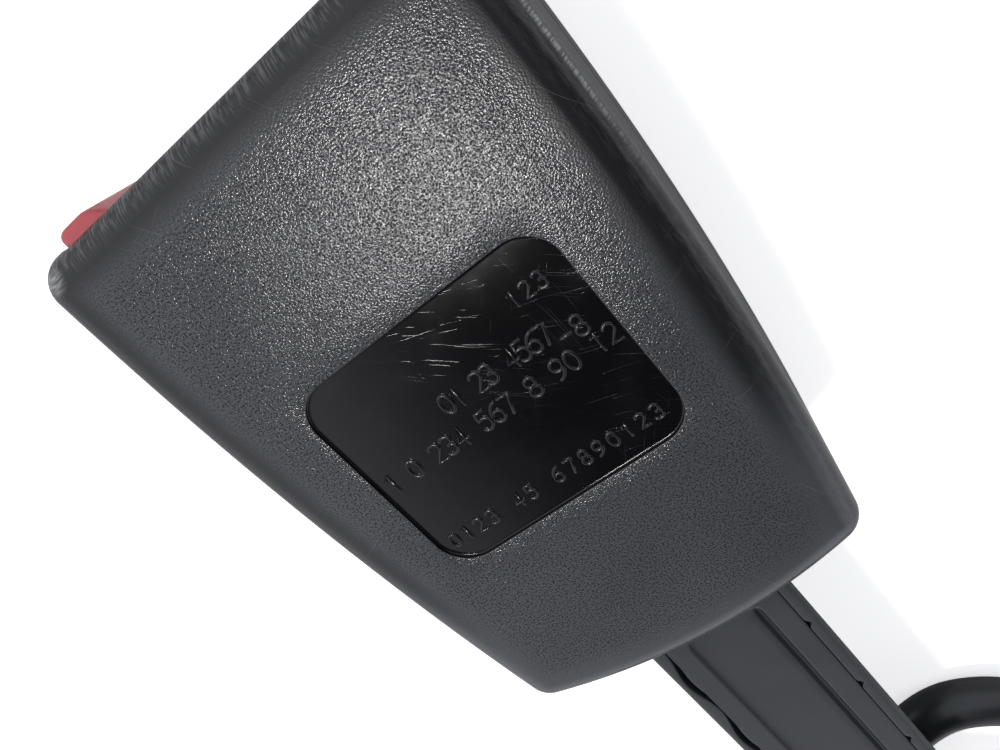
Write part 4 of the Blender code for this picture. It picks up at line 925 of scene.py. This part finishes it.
def make_strap():
    """The steel strap: a strip whose half width follows its plan, cranked once, with die-rolled edges.

    Across the strip the section is a rounded rectangle. The last rows narrow to the eye's far end.
    """
    neck_y = EYE_Y - EYE_RADIUS
    turn = np.linspace(0, math.pi, 49)
    ys = np.concatenate([np.linspace(STRAP_LOW.y, neck_y, 70)[:-1], EYE_Y - EYE_RADIUS * np.cos(turn)])
    head = eased(np.clip((STRAP_CRANK_Y[0] + STRAP_HEAD_TAPER - ys) / STRAP_HEAD_TAPER, 0, 1))
    width = STRAP_HALF_WIDTH + (STRAP_HEAD_HALF - STRAP_HALF_WIDTH) * head
    round_eye = np.sqrt(np.maximum(EYE_RADIUS**2 - (ys - EYE_Y) ** 2, 0))
    past_neck = ys > EYE_Y - math.sqrt(EYE_RADIUS**2 - STRAP_HALF_WIDTH**2)
    width = np.maximum(np.where(past_neck, round_eye, width), 2 * STRAP_CORNER)
    crank = eased(np.clip((ys - STRAP_CRANK_Y[0]) / (STRAP_CRANK_Y[1] - STRAP_CRANK_Y[0]), 0, 1))
    drop = STRAP_HIGH.z - STRAP_LOW.z - STRAP_STEEL
    level = STRAP_HIGH.z - STRAP_STEEL / 2 - drop * crank
    section = drawn_in(panel_ring(STRAP_HALF_WIDTH, STRAP_STEEL / 2, STRAP_CORNER), 0)
    side = np.clip(section[:, 0] / (STRAP_HALF_WIDTH - STRAP_CORNER), -1, 1)
    rows = []
    for y, half, z in zip(ys[:-1], width, level):
        x = section[:, 0] + side * (half - STRAP_HALF_WIDTH)
        rows.append(np.column_stack([x, np.full(len(x), y), z + section[:, 1]]))
    strap = closed_surface("strap_skin", np.stack(rows))
    soft = EYE_HOLE_EDGE
    eye_top = STRAP_LOW.z + STRAP_STEEL
    hole = [(soft, STRAP_LOW.z - OVERSHOOT), (soft, STRAP_LOW.z - HAIR)]
    quarter = np.radians((15, 40, 65, 90))
    hole += [(soft * (1 - math.sin(a)), STRAP_LOW.z + soft * (1 - math.cos(a))) for a in quarter]
    hole += [(soft * (1 - math.sin(a)), eye_top - soft * (1 - math.cos(a))) for a in quarter[::-1]]
    hole += [(soft, eye_top + HAIR), (soft, STRAP_HIGH.z)]
    around = np.linspace(0, 2 * math.pi, 96, endpoint=False)
    circle = np.column_stack([np.cos(around), np.sin(around)])
    rings = [at_height((0, EYE_Y) + (EYE_HOLE_RADIUS + out) * circle, z) for out, z in hole]
    combine(strap, closed_surface("eye_hole", np.stack(rings)))
    return strap


def make_boot(lead):
    """The lead's boot: a turned cone from flange to tip, with evenly spaced ribs.

    Its radius is root - rib * share - rib * (1 - sqrt(wave)), where the share runs from 0 at the
    flange to 1 at the tip and the wave is 1 on each rib and 0 between two ribs.
    """
    low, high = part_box("lead_boot")
    seat = OUTLET_END_X + GAP
    start = seat + BOOT_FLANGE
    tip = high.x
    core = 0.1 * MM
    soft = 0.2 * MM
    wide = BOOT_FLANGE_RADIUS
    profile = [(low.x, core), (low.x, BOOT_NECK_RADIUS), (seat, BOOT_NECK_RADIUS)]
    profile += [(seat, wide - soft), (seat + soft, wide), (start - soft, wide), (start, wide - soft)]
    for x in np.linspace(start, tip - 2 * soft, 90)[1:]:
        share = (x - start) / (tip - start)
        wave = 0.5 - 0.5 * math.cos(2 * math.pi * lead.boot_ribs * share)
        profile.append((x, wide - 0.15 * MM - BOOT_RIB * share - BOOT_RIB * (1 - math.sqrt(wave))))
    profile += [(tip, LEAD_RADIUS + 2 * HAIR), (tip, core)]
    return turned_about_x("lead_boot_skin", profile, 64)


def smooth_route(points, spacing):
    """Evenly spaced points on one smooth curve through the route's points, a cubic for each stretch."""
    knots = [Vector(point) for point in points]
    knots = [2 * knots[0] - knots[1], *knots, 2 * knots[-1] - knots[-2]]
    fine = []
    for a, b, c, d in zip(knots, knots[1:], knots[2:], knots[3:]):
        for t in np.linspace(0, 1, 12, endpoint=False):
            bend = (2 * a - 5 * b + 4 * c - d) * t**2 + (3 * b - a - 3 * c + d) * t**3
            fine.append(0.5 * (2 * b + (c - a) * t + bend))
    fine.append(knots[-2])
    fine = np.array([list(point) for point in fine])
    walked = np.concatenate([[0], np.cumsum(np.linalg.norm(np.diff(fine, axis=0), axis=1))])
    goals = np.linspace(0, walked[-1], max(2, round(walked[-1] / spacing)) + 1)
    even = np.stack([np.interp(goals, walked, fine[:, axis]) for axis in range(3)], axis=1)
    return even, walked[-1]


def make_lead():
    """The free lead: one open spline with a round section, and its length."""
    points, length = smooth_route(LEAD_ROUTE, 1.2 * MM)
    curve = bpy.data.curves.new("switch_lead_sheath", "CURVE")
    curve.dimensions = "3D"
    curve.bevel_depth = LEAD_RADIUS
    curve.bevel_resolution = 8
    curve.use_fill_caps = True
    spline = curve.splines.new("POLY")
    spline.points.add(len(points) - 1)
    flat = np.column_stack([points, np.ones(len(points))])
    spline.points.foreach_set("co", flat.ravel())
    spline.use_smooth = True
    return new_piece("switch_lead_sheath", curve), length


def make_spring(name, node, turns):
    """A compression spring along Y: a wire's round section carried along a helix inside the node's box.

    The helix climbs evenly but for its first and last turns, which lie closer, as on a ground spring.
    """
    low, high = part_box(node)
    middle_x = (low.x + high.x) / 2
    middle_z = (low.z + high.z) / 2
    radius = (high.z - low.z) / 2 - SPRING_WIRE
    share = np.linspace(0, 1, turns * 24 + 1)
    ground = np.clip(share * turns, 0, 1) * 0.5 + np.clip((share - 1) * turns + 1, 0, 1) * 0.5
    pitch = share * 0.9 + ground * 0.1
    turn = 2 * math.pi * turns * share
    start = low.y + SPRING_WIRE
    end = high.y - SPRING_WIRE
    centre = np.column_stack([
        middle_x + radius * np.cos(turn),
        start + (end - start) * pitch,
        middle_z + radius * np.sin(turn),
    ])
    out = np.column_stack([np.cos(turn), np.zeros(len(turn)), np.sin(turn)])
    along = np.array([0.0, 1.0, 0.0])
    rows = []
    for side in np.linspace(0, 2 * math.pi, 10, endpoint=False):
        rows.append(centre + SPRING_WIRE * (math.cos(side) * out + math.sin(side) * along))
    return closed_surface(name, np.stack(rows, axis=1))


def new_paint(name):
    """An empty procedural material with its node tree and shader."""
    paint = bpy.data.materials.new(name)
    paint.use_nodes = True
    return paint, paint.node_tree, paint.node_tree.nodes["Principled BSDF"]


def add(tree, kind, settings=None, inputs=None):
    """Adds one node, sets its properties, and sets or links its inputs."""
    made = tree.nodes.new(kind)
    for key, value in (settings or {}).items():
        setattr(made, key, value)
    for key, value in (inputs or {}).items():
        if isinstance(value, bpy.types.NodeSocket):
            tree.links.new(value, made.inputs[key])
        else:
            made.inputs[key].default_value = value
    return made


def object_coordinates(tree):
    """The piece's own coordinates, in metres."""
    return add(tree, "ShaderNodeTexCoord").outputs["Object"]


def noise(tree, place, size, detail):
    """Soft noise whose features are about as wide as the size."""
    inputs = {"Vector": place, "Scale": 1 / size, "Detail": detail}
    return add(tree, "ShaderNodeTexNoise", inputs=inputs).outputs["Fac"]


def remap(tree, value, low, high, to_low=0.0, to_high=1.0):
    """Maps low..high to to_low..to_high with soft ends."""
    inputs = {"Value": value, "From Min": low, "From Max": high, "To Min": to_low, "To Max": to_high}
    return add(tree, "ShaderNodeMapRange", {"interpolation_type": "SMOOTHSTEP"}, inputs).outputs["Result"]


def compute(tree, operation, first, second=0.0, third=0.0):
    """One arithmetic node."""
    return add(tree, "ShaderNodeMath", {"operation": operation}, {0: first, 1: second, 2: third}).outputs[0]


def product(tree, value, *factors):
    """A value times one or more others."""
    for factor in factors:
        value = compute(tree, "MULTIPLY", value, factor)
    return value


def stretched(tree, place, along_x, along_y, along_z):
    """Coordinates in which a feature of size 1 has these sizes along X, Y and Z."""
    scale = (1 / along_x, 1 / along_y, 1 / along_z)
    return add(tree, "ShaderNodeVectorMath", {"operation": "MULTIPLY"}, {0: place, 1: scale}).outputs[0]


def emboss(tree, shader, height, depth):
    """Raises the surface by the height times the depth, in its shading only."""
    bump = add(tree, "ShaderNodeBump", inputs={"Height": height, "Distance": depth, "Strength": 1.0})
    tree.links.new(bump.outputs["Normal"], shader.inputs["Normal"])


def blend(tree, share, first, second):
    """Mixes two colours by a share."""
    first, second = [c if isinstance(c, bpy.types.NodeSocket) else (*c, 1) for c in (first, second)]
    inputs = {"Factor": share, "A": first, "B": second}
    return add(tree, "ShaderNodeMix", {"data_type": "RGBA"}, inputs).outputs["Result"]


def scaled(colour, factor):
    """A colour made lighter or darker by a factor."""
    return [min(1.0, c * factor) for c in colour]


def hairlines(tree, place, angle, width, length, threshold, seed):
    """Fine parallel scratches: noise drawn out along one direction and cut at a threshold.

    The direction is turned about Z by the angle, in degrees. A second, broad noise bends the
    lines a little and leaves them out in places.
    """
    wobble = add(tree, "ShaderNodeTexNoise", inputs={"Vector": place, "Scale": 1 / (9 * MM), "Detail": 1.0})
    bent = add(tree, "ShaderNodeVectorMath", {"operation": "MULTIPLY_ADD"}, {
        0: wobble.outputs["Color"], 1: (1.6 * MM, 1.6 * MM, 0), 2: place}).outputs[0]
    turned = add(tree, "ShaderNodeMapping", {"vector_type": "TEXTURE"}, {
        "Vector": bent, "Rotation": (0, 0, math.radians(angle)), "Location": (seed * MM, 0, 0)}).outputs[0]
    lines = noise(tree, stretched(tree, turned, length, width, length), 1.0, 1.0)
    lines = remap(tree, lines, threshold, threshold + 0.05)
    return product(tree, lines, remap(tree, noise(tree, turned, 7 * MM, 1.0), 0.45, 0.62))


def grained_charcoal_abs(case):
    """The case's moulded plastic.

    The fine grain breaks the lamp's reflection into a field of sparkles. Near the case's edge the
    grain fades to a smoother band, and the rim carries short scuffs that run across it.
    """
    paint, tree, shader = new_paint("grained_charcoal_abs")
    place = object_coordinates(tree)
    inset = add(tree, "ShaderNodeAttribute", {"attribute_name": "inset"}).outputs["Fac"]
    at_x, at_y, at_z = add(tree, "ShaderNodeSeparateXYZ", inputs={0: place}).outputs

    # rounded grains of the mould
    grain = noise(tree, place, case.grain_width, 1.0)
    fade = remap(tree, inset, 2.4 * MM, 6.5 * MM, 0.1, 1.0)
    worn = remap(tree, noise(tree, place, 14 * MM, 2.0), 0.3, 0.7, 0.78, 1.0)

    # scuffs across the front rim, drawn out along Y
    scuffs = noise(tree, stretched(tree, place, 0.22 * MM, 1.8 * MM, 1.8 * MM), 1.0, 2.0)
    scuffs = remap(tree, scuffs, 0.44, 0.66)
    rim = remap(tree, inset, 0.2 * MM, 2.6 * MM, 1.0, 0.0)
    front = remap(tree, at_y, CASE_FRONT_Y + 2.2 * MM, CASE_FRONT_Y + 3.4 * MM, 1.0, 0.25)
    top = remap(tree, at_z, CASE_TOP_Z - 6 * MM, CASE_TOP_Z - 2.5 * MM, 0.12, 1.0)
    scuffed = product(tree, scuffs, rim, front, top)

    # a few light hairlines from use
    scratches = hairlines(tree, place, 118, 0.09 * MM, 13 * MM, 0.72, 3)
    scratches = compute(tree, "MAXIMUM", scratches, hairlines(tree, place, 20, 0.08 * MM, 10 * MM, 0.73, 31))

    # the colour: broad mottling, painted shade in a smooth dark band along the front edges, and painted shade
    # in the grain's hollows
    mottle = remap(tree, noise(tree, place, 9 * MM, 3.0), 0.3, 0.7)
    colour = blend(tree, mottle, scaled(case.colour, 0.93), scaled(case.colour, 1.08))
    # painted shade: a dark band just inside the front edges, standing for the dark room that the smooth face
    # reflects
    painted_dark_band = remap(tree, inset, 2.6 * MM, 5 * MM, 1.0, 0.0)
    painted_dark_band = product(tree, painted_dark_band, remap(tree, at_y, 8 * MM, 28 * MM, 1.0, 0.0))
    colour = blend(tree, painted_dark_band, colour, scaled(case.colour, 0.22))
    # painted shade: the grain's hollows are darkened in colour
    hollow_shade = product(tree, remap(tree, grain, 0.55, 0.35), fade)
    colour = blend(tree, hollow_shade, colour, scaled(case.colour, 0.42))
    colour = blend(tree, product(tree, scuffed, 0.5), colour, linear("#7b7c7e"))

    # painted highlight: the edge line and the front corners are painted pale and streaky where the top turns
    # over
    edge_glint = noise(tree, stretched(tree, place, 1.4 * MM, 0.2 * MM, 1.4 * MM), 1.0, 2.0)
    edge_glint = remap(tree, edge_glint, 0.36, 0.62, 0.2, 1.0)
    line = product(
        tree,
        remap(tree, inset, 0.3 * MM, 0.62 * MM, 1.0, 0.0),
        remap(tree, inset, 0.08 * MM, 0.26 * MM),
        remap(tree, at_x, -18 * MM, -12 * MM, 1.0, 0.0),
        remap(tree, at_y, -22 * MM, -6 * MM, 1.0, 0.0),
    )
    across = compute(tree, "ABSOLUTE", at_x)
    folded = add(tree, "ShaderNodeCombineXYZ", inputs={0: across, 1: at_y, 2: at_z}).outputs[0]
    measure = add(tree, "ShaderNodeVectorMath", {"operation": "DISTANCE"}, {0: folded, 1: GLINT_CORNER})
    corner = remap(tree, measure.outputs["Value"], 0.3 * MM, 1.7 * MM, 1.0, 0.0)
    edge_glint = product(tree, edge_glint, compute(tree, "MAXIMUM", line, corner))
    colour = blend(tree, product(tree, edge_glint, 0.85), colour, linear("#a5a6a6"))
    colour = blend(tree, product(tree, scratches, 0.28), colour, linear("#8a8a8a"))

    gloss = compute(tree, "MULTIPLY_ADD", scuffed, 0.12, remap(tree, inset, 2.4 * MM, 6 * MM, 0.23, 0.16))
    height = compute(tree, "MULTIPLY_ADD", scuffed, 0.35, product(tree, grain, fade, worn))
    emboss(tree, shader, height, case.grain_depth)
    tree.links.new(colour, shader.inputs["Base Color"])
    tree.links.new(gloss, shader.inputs["Roughness"])
    # the painted shade in the grain's hollows also lowers their specular level
    tree.links.new(compute(tree, "MULTIPLY_ADD", hollow_shade, -0.42, 0.5), shader.inputs["Specular IOR Level"])
    return paint


def polished_recess_abs(case):
    """The label recess: the same plastic moulded against polished steel.

    Its gloss mirrors the dark ceiling, so it reads near black, and every hairline shows on it.
    """
    paint, tree, shader = new_paint("polished_recess_abs")
    place = object_coordinates(tree)
    lines = hairlines(tree, place, 140, 0.07 * MM, 9 * MM, 0.69, 5)
    for angle, width, length, threshold, seed in (
        (158, 0.06, 7, 0.71, 17),
        (52, 0.08, 8, 0.71, 29),
        (96, 0.06, 12, 0.73, 61),
    ):
        more = hairlines(tree, place, angle, width * MM, length * MM, threshold, seed)
        lines = compute(tree, "MAXIMUM", lines, more)
    along_x = add(tree, "ShaderNodeSeparateXYZ", inputs={0: place}).outputs["X"]
    lines = product(tree, lines, remap(tree, along_x, -11 * MM, 6 * MM, 1.0, 0.2))
    smudges = remap(tree, noise(tree, place, 5 * MM, 4.0), 0.42, 0.72)
    smudged = scaled(case.label_colour, 2.2)
    colour = blend(tree, product(tree, smudges, 0.35), case.label_colour, smudged)
    colour = blend(tree, product(tree, lines, 0.16), colour, linear("#63666c"))
    gloss = compute(tree, "MULTIPLY_ADD", smudges, 0.03, 0.08)
    gloss = compute(tree, "MULTIPLY_ADD", lines, 0.08, gloss)
    emboss(tree, shader, lines, 0.003 * MM)
    tree.links.new(colour, shader.inputs["Base Color"])
    tree.links.new(gloss, shader.inputs["Roughness"])
    return paint


def plain_moulded(name, colour, roughness, metallic=0.0, specular=0.5, depth=0.006 * MM):
    """A plain finish with slight mottling of its colour, gloss and surface."""
    paint, tree, shader = new_paint(name)
    place = object_coordinates(tree)
    broad = noise(tree, place, 6 * MM, 3.0)
    gloss = remap(tree, broad, 0.2, 0.8, roughness * 0.85, roughness * 1.15)
    emboss(tree, shader, noise(tree, place, 0.4 * MM, 4.0), depth)
    tree.links.new(blend(tree, broad, scaled(colour, 0.9), scaled(colour, 1.1)), shader.inputs["Base Color"])
    tree.links.new(gloss, shader.inputs["Roughness"])
    shader.inputs["Metallic"].default_value = metallic
    shader.inputs["Specular IOR Level"].default_value = specular
    return paint


class BUCKLE_OT_stage(bpy.types.Operator):
    """Makes the floor, the soft light, the world and the camera"""

    bl_idname = "buckle.stage"
    bl_label = "Stage and camera"

    def execute(self, context):
        settings = context.scene.buckle_stage
        shape = bmesh.new()
        bmesh.ops.create_grid(shape, x_segments=1, y_segments=1, size=3)
        mesh = bpy.data.meshes.new("floor")
        shape.to_mesh(mesh)
        shape.free()
        floor = new_piece("floor", mesh)
        floor.data.materials.append(floor_paint(settings.floor_colour))
        make_world(context.scene)
        make_lamp(settings)
        make_camera(context.scene)
        context.scene.view_settings.view_transform = "Standard"
        return {"FINISHED"}


def floor_paint(colour):
    """A pale matt board that is white to the camera and keeps the shadow, and a dim grey to reflections."""
    paint, tree, shader = new_paint("matt_white_board")
    tree.nodes.remove(shader)
    matt = add(tree, "ShaderNodeBsdfDiffuse", inputs={"Color": (*colour, 1)})
    glow = add(tree, "ShaderNodeEmission", inputs={"Color": (1, 1, 1, 1), "Strength": 0.62})
    both = add(tree, "ShaderNodeAddShader", inputs={0: matt.outputs[0], 1: glow.outputs[0]})
    grey = add(tree, "ShaderNodeBsdfDiffuse", inputs={"Color": (*linear("#cfcfcd"), 1)})
    path = add(tree, "ShaderNodeLightPath")
    choice = {0: path.outputs["Is Camera Ray"], 1: grey.outputs[0], 2: both.outputs[0]}
    mix = add(tree, "ShaderNodeMixShader", inputs=choice)
    tree.links.new(mix.outputs[0], tree.nodes["Material Output"].inputs["Surface"])
    return paint


def make_world(scene):
    """A soft studio: pale all round, with two dark patches, one overhead and one beside the case.

    Each patch is a cap about one direction and has a soft edge between two angles from it. The
    first blackens the recess, the second the rolled edge on the -X side.
    """
    world = bpy.data.worlds.new("studio")
    scene.world = world
    world.use_nodes = True
    tree = world.node_tree
    ground = tree.nodes["Background"]
    place = add(tree, "ShaderNodeTexCoord").outputs["Generated"]
    strength = 1.0
    for middle, full, clear in DARK_PATCHES:
        middle = Vector(middle).normalized()
        towards = add(tree, "ShaderNodeVectorMath", {"operation": "DOT_PRODUCT"}, {0: place, 1: middle})
        outer, inner = np.cos(np.radians((clear, full))).tolist()
        strength = product(tree, remap(tree, towards.outputs["Value"], outer, inner, 1.0, 0.03), strength)
    tree.links.new(strength, ground.inputs["Strength"])
    ground.inputs["Color"].default_value = (*linear("#f7f8ff"), 1)


def make_lamp(settings):
    """One compact lamp overhead, for the sheen on the grained face."""
    data = bpy.data.lights.new("sheen_lamp", "AREA")
    data.shape = "DISK"
    data.size = 0.09
    data.color = (1.0, 0.985, 0.95)
    data.energy = settings.lamp_power
    lamp = new_piece("sheen_lamp", data)
    lamp.location = LAMP_AIM + LAMP_WAY * LAMP_DISTANCE
    lamp.rotation_mode = "QUATERNION"
    lamp.rotation_quaternion = LAMP_WAY.to_track_quat("Z", "Y")


def make_camera(scene):
    """The camera at the photograph's place, close over the label side."""
    data = bpy.data.cameras.new("camera")
    data.lens = CAMERA_LENS_MM
    data.sensor_width = CAMERA_SENSOR_MM
    data.clip_start = 1 * MM
    data.clip_end = 20
    camera = new_piece("camera", data)
    right = Vector(CAMERA_RIGHT).normalized()
    back = right.cross(Vector(CAMERA_UP)).normalized()
    up = back.cross(right)
    camera.matrix_world = Matrix.Translation(CAMERA_PLACE) @ Matrix((right, up, back)).transposed().to_4x4()
    scene.camera = camera


class BUCKLE_OT_case_shells(bpy.types.Operator):
    """Makes both case shells with their rounded edges, seam and recess"""

    bl_idname = "buckle.case_shells"
    bl_label = "Case shells"

    def execute(self, context):
        case = context.scene.buckle_case
        paint = grained_charcoal_abs(case)
        polish = polished_recess_abs(case)
        rear = dress(make_rear_shell(case), "case", ["rear_shell"], "case_plastic", paint, polish)
        front = dress(make_front_shell(case), "case", ["front_shell"], "case_plastic", paint)
        for shell in (rear, front):
            store_inset(shell.data)
        polish_recess(rear.data)
        # the digits come from the same polished mould as the recess, so only their edges catch light
        raised = plain_moulded("gloss_digit_abs", scaled(case.label_colour, 2.0), 0.14, depth=0)
        dress(make_digits(case), "case", [], "case_plastic", raised, sharp=80)
        return {"FINISHED"}


class BUCKLE_OT_release_button(bpy.types.Operator):
    """Makes the red release button with its dished face"""

    bl_idname = "buckle.release_button"
    bl_label = "Release button"

    def execute(self, context):
        button = context.scene.buckle_button
        # polished moulded plastic: a strong red that holds one soft highlight in the dish
        paint = plain_moulded("gloss_red_abs", button.colour, 0.3, specular=0.9)
        dress(make_release_button(button), "button", ["release_button"], "button_plastic", paint)
        return {"FINISHED"}


class BUCKLE_OT_slot_liner(bpy.types.Operator):
    """Makes the liner of the tongue's slot"""

    bl_idname = "buckle.slot_liner"
    bl_label = "Slot liner"

    def execute(self, context):
        # moulded nylon: a soft dark gloss that keeps the slot's mouth in shadow
        paint = plain_moulded("black_nylon", linear("#141416"), 0.42)
        dress(make_slot_liner(), "case", ["slot_liner"], "black_plastic", paint)
        return {"FINISHED"}


class BUCKLE_OT_stalk(bpy.types.Operator):
    """Makes the sleeve, its scalloped cover and the steel strap"""

    bl_idname = "buckle.stalk"
    bl_label = "Sleeve and strap"

    def execute(self, context):
        stalk = context.scene.buckle_stalk
        # satin moulded plastic: a dark, waxy grey against the case's sparkle
        plastic = plain_moulded("satin_grey_polypropylene", stalk.sleeve_colour, 0.42)
        # pressed and plated steel: a broad, blurred reflection with a faintly warm tone
        steel = plain_moulded("zinc_plated_steel", stalk.steel_colour, 0.36, 1.0)
        dress(make_sleeve(stalk), "case", ["sleeve_front"], "sleeve_plastic", plastic)
        dress(make_cover(stalk), "case", ["sleeve_rear"], "sleeve_plastic", plastic)
        dress(make_strap(), "case", ["strap"], "plated_steel", steel)
        return {"FINISHED"}


class BUCKLE_OT_lead(bpy.types.Operator):
    """Makes the switch lead and its boot"""

    bl_idname = "buckle.lead"
    bl_label = "Switch lead"

    def execute(self, context):
        settings = context.scene.buckle_lead
        # extruded sheath: smooth and dark, with a long highlight down its length
        sheath = plain_moulded("black_pvc_sheath", settings.colour, 0.32)
        lead, length = make_lead()
        dress(lead, "case", ["switch_lead"], "lead_rubber", sheath)
        # moulded rubber: the lead's colour without its gloss
        rubber = plain_moulded("black_boot_rubber", settings.colour, 0.5)
        dress(make_boot(settings), "case", ["lead_boot"], "lead_rubber", rubber)
        return {"FINISHED"}


class BUCKLE_OT_springs(bpy.types.Operator):
    """Makes the two button springs and the ejector's spring"""

    bl_idname = "buckle.springs"
    bl_label = "Springs"

    def execute(self, context):
        # drawn wire: bright, with a sharp line of light along each turn
        wire = plain_moulded("drawn_spring_wire", linear("#c4c5c6"), 0.25, 1.0)
        for node, turns, joint, anchor, travel in (
            ("button_spring_left", 6, "button_press", BUTTON_SPRING_ANCHOR_Y, BUTTON_TRAVEL),
            ("button_spring_right", 6, "button_press", BUTTON_SPRING_ANCHOR_Y, BUTTON_TRAVEL),
            ("ejector_spring", 7, "ejector_slide", EJECTOR_SPRING_ANCHOR_Y, EJECTOR_TRAVEL),
        ):
            piece = dress(make_spring(node + "_wire", node, turns), "case", [node], "spring_steel", wire)
            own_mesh(piece)
        return {"FINISHED"}


class BUCKLE_OT_inner_works(bpy.types.Operator):
    """Finishes the steel frame, the latch works, the switch and the plug, whose solids stay as they are"""

    bl_idname = "buckle.inner_works"
    bl_label = "Inner works"

    def execute(self, context):
        # the steels differ in gloss, the plastics in colour, so the pieces can be told apart inside
        plated = plain_moulded("zinc_plated_pressing", linear("#b9b6ad"), 0.36, 1.0)
        hard = plain_moulded("hardened_steel", linear("#a8a9ab"), 0.3, 1.0)
        acetal = plain_moulded("natural_acetal", linear("#e4e2da"), 0.42)
        nylon = plain_moulded("black_glass_nylon", linear("#161618"), 0.45)
        orange = plain_moulded("orange_nylon", linear("#c9622a"), 0.4)
        brass = plain_moulded("tinned_brass", linear("#c8b48a"), 0.28, 1.0)
        finishes = {
            plated: ("frame", "strap_rivet"),
            hard: ("latch", "latch_pin", "lock_bar", "switch_magnet"),
            acetal: ("ejector",),
            nylon: ("switch_module", "plug_housing", "switch_wire"),
            orange: ("plug_lock",),
            brass: ("terminal_left", "terminal_right"),
        }
        for paint, names in finishes.items():
            for name in names:
                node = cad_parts.get(name)
                if node is None:
                    raise RuntimeError(f"the frame has no node named {name}")
                node.data.materials.clear()
                node.data.materials.append(paint)
        return {"FINISHED"}


class BUCKLE_PT_panel(bpy.types.Panel):
    """Lists the buckle's operators and settings"""

    bl_label = "Seat belt buckle"
    bl_idname = "BUCKLE_PT_panel"
    bl_space_type = "VIEW_3D"
    bl_region_type = "UI"
    bl_category = "Buckle"

    def draw(self, context):
        for operator in OPERATORS:
            self.layout.operator(operator.bl_idname)
        for name, group in SETTINGS.items():
            box = self.layout.box()
            for key in group.__annotations__:
                box.prop(getattr(context.scene, name), key)


SETTINGS = {
    "buckle_case": BuckleCaseSettings,
    "buckle_button": BuckleButtonSettings,
    "buckle_stalk": BuckleStalkSettings,
    "buckle_lead": BuckleLeadSettings,
    "buckle_stage": BuckleStageSettings,
}
OPERATORS = (
    BUCKLE_OT_stage,
    BUCKLE_OT_lead,
    BUCKLE_OT_case_shells,
    BUCKLE_OT_release_button,
    BUCKLE_OT_slot_liner,
    BUCKLE_OT_stalk,
    BUCKLE_OT_springs,
    BUCKLE_OT_inner_works,
)


def register():
    for group in SETTINGS.values():
        bpy.utils.register_class(group)
    for operator in OPERATORS:
        bpy.utils.register_class(operator)
    bpy.utils.register_class(BUCKLE_PT_panel)
    for name, group in SETTINGS.items():
        setattr(bpy.types.Scene, name, PointerProperty(type=group))


def unregister():
    for name in SETTINGS:
        delattr(bpy.types.Scene, name)
    bpy.utils.unregister_class(BUCKLE_PT_panel)
    for operator in reversed(OPERATORS):
        bpy.utils.unregister_class(operator)
    for group in reversed(SETTINGS.values()):
        bpy.utils.unregister_class(group)


def main():
    register()
    bpy.ops.buckle.stage()
    bpy.ops.buckle.lead()
    bpy.ops.buckle.case_shells()
    bpy.ops.buckle.release_button()
    bpy.ops.buckle.slot_liner()
    bpy.ops.buckle.stalk()
    bpy.ops.buckle.springs()
    bpy.ops.buckle.inner_works()


if __name__ == "__main__":
    main()
